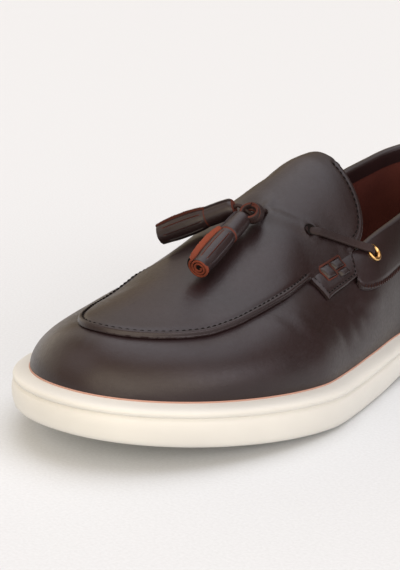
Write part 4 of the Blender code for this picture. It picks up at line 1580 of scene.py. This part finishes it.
def make_tassel(which, materials):
    """A strip of leather slit into a fringe and rolled up, its raw edges showing."""
    top, end, ahead, across, lift = tassel_frame(which)
    wrap = TASSEL_WRAPS[which]
    per_strip = TASSEL_SIDES // FRINGE_STRIPS
    cap_share = TASSEL_CAP_LENGTH / TASSEL_LENGTH
    start = top - ahead * NEAR_CAP_SPARE if which == "near" else top
    builder = bmesh.new()
    rings = []
    for share in columns(0, 1, TASSEL_STEPS):
        radius = TASSEL_RADIUS * along(TASSEL_SHAPE, "fullness", share)
        in_fringe = ease((share - cap_share - 0.05) / 0.03) * ease((0.93 - share) / 0.04)
        opened = ease((share - cap_share) / 0.02) * lerp(0.7, 1, ease((share - cap_share) / 0.3))
        step = lerp(wrap.cap_step, wrap.fringe_step, opened) * lerp(1, 0.75, ease((share - 0.9) / 0.1))
        centre = start.lerp(end, share)
        ring = []
        for i in range(TASSEL_SIDES):
            grow = step * (1 - clamp(i / (0.42 * TASSEL_SIDES))) - step * 0.4
            slit = SLIT_DEPTH * in_fringe if i % per_strip == 0 and i else 0
            ragged = 0
            if i < 3 and share > cap_share:
                ragged = RAGGED * noise.noise(Vector((share * 60, i, 3)))
            spoke = tassel_spoke(which, math.tau * i / TASSEL_SIDES)
            ring.append(centre + spoke * (radius + grow - slit + ragged))
        foot = tassel_spoke(which, math.radians(-1))
        ring.append(centre + foot * (radius - step * 0.4))
        rings.append(ring)
    verts = grid_verts(builder, rings)
    total = TASSEL_SIDES + 1
    for k, (near, far) in enumerate(zip(verts, verts[1:])):
        share = (k + 0.5) / TASSEL_STEPS
        for i in range(total):
            j = (i + 1) % total
            face = builder.faces.new((near[i], near[j], far[j], far[i]))
            in_slits = cap_share + 0.06 < share < 0.92
            groove = in_slits and i % per_strip == 0 and 0 < i < TASSEL_SIDES
            cut = share > cap_share and i in (0, TASSEL_SIDES)
            cap_edge = abs(share - cap_share - 0.012) < 0.008
            face.material_index = 1 if cut else 3 if groove or cap_edge else 0
    builder.faces.new(verts[0]).material_index = 3
    # The roll's far end face is near black: painted shade between the coil's turns and in its middle.
    builder.faces.new(verts[-1]).material_index = 2
    mesh = finish_mesh(f"tassel_roll_{which}", builder)
    edge = "raw cut edge" if which == "near" else "rubbed cut edge"
    roll = add_piece(f"tassel_roll_{which}", mesh,
                     (materials["brown leather"], materials[edge], materials["painted hollow shade"],
                      materials["rubbed cut edge"]), [f"tassel_{which}"], smooth=50)
    return [roll, make_spiral_end(which, materials)]


def make_spiral_end(which, materials):
    """The rolled strip's end face: a raw spiral round a middle painted near black as shade."""
    top, end, ahead, across, lift = tassel_frame(which)
    outer = TASSEL_RADIUS * 0.84 + 0.2 * MM
    half = SHEET * 0.34
    rims = ((-half, -0.8), (-half, 0.22), (-half * 0.5, 0.42), (half * 0.5, 0.42), (half, 0.22),
            (half, -0.8))
    builder = bmesh.new()
    rings = []
    for t in columns(0, 1, 110):
        turned = math.tau * 2.7 * t
        middle = lerp(outer - half, 0.9 * MM, t)
        wave = 0.14 * MM * noise.noise(Vector((turned * 2, 0, 5)))
        spoke = tassel_spoke(which, turned)
        rings.append([end + spoke * (middle + out) + ahead * (rise * MM + wave)
                      for out, rise in rims])
    tube(builder, rings)
    mesh = finish_mesh(f"tassel_coil_{which}", builder)
    face = "raw cut edge" if which == "near" else "thong leather"
    return add_piece(f"tassel_coil_{which}", mesh, (materials[face],), smooth=60)


# Each turn of the knot: how far up its stem in mm, its lean in degrees, its radius and its width
Turning = namedtuple("Turning", "along lean radius width")
KNOT_TURNS = table(
    Turning,
    (0.3, 8, 3.45, 3.9),
    (2.3, 36, 2.90, 2.9),
    (-2.2, -32, 2.60, 2.8),
)


KNOT_RISE = 1.3 * MM
KNOT_THICKNESS = 1.5 * MM


def make_knot(materials):
    """The two thongs tied hard on themselves, as turns of thong round their stem."""
    centre = knot_centre() + skin_normal(1, way_of(KNOT_STATION), HOLE_REACH) * KNOT_RISE
    hole = surface_spot(1, HOLE_STATION, HOLE_REACH, 0)
    stem = (centre - hole).normalized()
    across = stem.cross(Vector((0, 0, 1))).normalized()
    up = across.cross(stem)
    knots = []
    for k, turning in enumerate(KNOT_TURNS):
        lean = Matrix.Rotation(math.radians(turning.lean), 3, across)
        axis = lean @ stem
        rise = lean @ up
        points, faces = [], []
        for a in columns(0.3 + k, 0.3 + k + math.tau * 1.04, 60):
            spoke = across * math.cos(a) * 1.1 + rise * math.sin(a)
            drift = axis * (a - math.pi) * 0.16 * MM
            points.append(centre + stem * turning.along * MM + spoke * turning.radius * MM + drift)
            faces.append(spoke.normalized())
        name = f"knot_turn_{k + 1}"
        widths = [turning.width * MM] * len(points)
        mesh = strap_mesh(name, points, faces, widths, KNOT_THICKNESS, cut_sides=True)
        replaced = ["lace_knot"] if k == 0 else []
        knots.append(add_piece(name, mesh, (materials["thong leather"], materials["rubbed cut edge"]),
                               replaced, smooth=60))
    return knots


def thong_path(which):
    """A thong's way from the middle hole through the knot and down inside its tassel."""
    side_step = {"near": 0.9, "far": -0.9}[which]
    hole = surface_spot(1, HOLE_STATION, HOLE_REACH, -1.0 * MM)
    rise = skin_normal(1, way_of(HOLE_STATION), HOLE_REACH)
    knot = knot_centre()
    top, end = tassel_axis(which)
    ahead = (end - top).normalized()
    sideways = (knot - hole).cross(rise).normalized() * side_step * MM
    points = [hole + sideways, hole + rise * 2.6 * MM + sideways, knot + sideways,
              top - ahead * 2.2 * MM, top + ahead * 2 * MM, top + ahead * 18 * MM]
    return even_points(smooth_path(points, 120), 38)


def make_thong_end(which, materials):
    path = thong_path(which)
    line = round_line(f"thong_{which}", path, THONG_THICKNESS / 2, materials["thong leather"], False, 3)
    thong = place_piece(f"thong_{which}", line, [f"lace_end_{which}"])
    path_length(path)


def main():
    make_camera()
    make_world()
    grain = make_grain_group()
    materials = {name: make_leather(name, kind, grain) for name, kind in LEATHERS.items()}
    materials["cream rubber"] = make_rubber()
    materials["aged brass"] = make_brass()
    for name, (color, roughness) in PLAIN_FINISHES.items():
        materials[name] = make_plain(name, color, roughness)
    make_floor(materials["studio floor"])

    knots = make_knot(materials)
    for which in TASSEL_LIES:
        pieces = make_tassel(which, materials)
        make_thong_end(which, materials)
    make_sole(materials)
    make_feather_line(materials)
    make_insole(materials)
    make_upper(materials)
    apron = make_apron(materials)
    make_collar(materials)
    make_seams(materials)
    for side, label in SIDES:
        make_eyelet(label, side, materials)
        make_lace_bar(label, side, materials, surface_of(apron))
        make_weave(label, side, materials)
        make_slit(label, side, materials)
    make_hole(materials)


main()
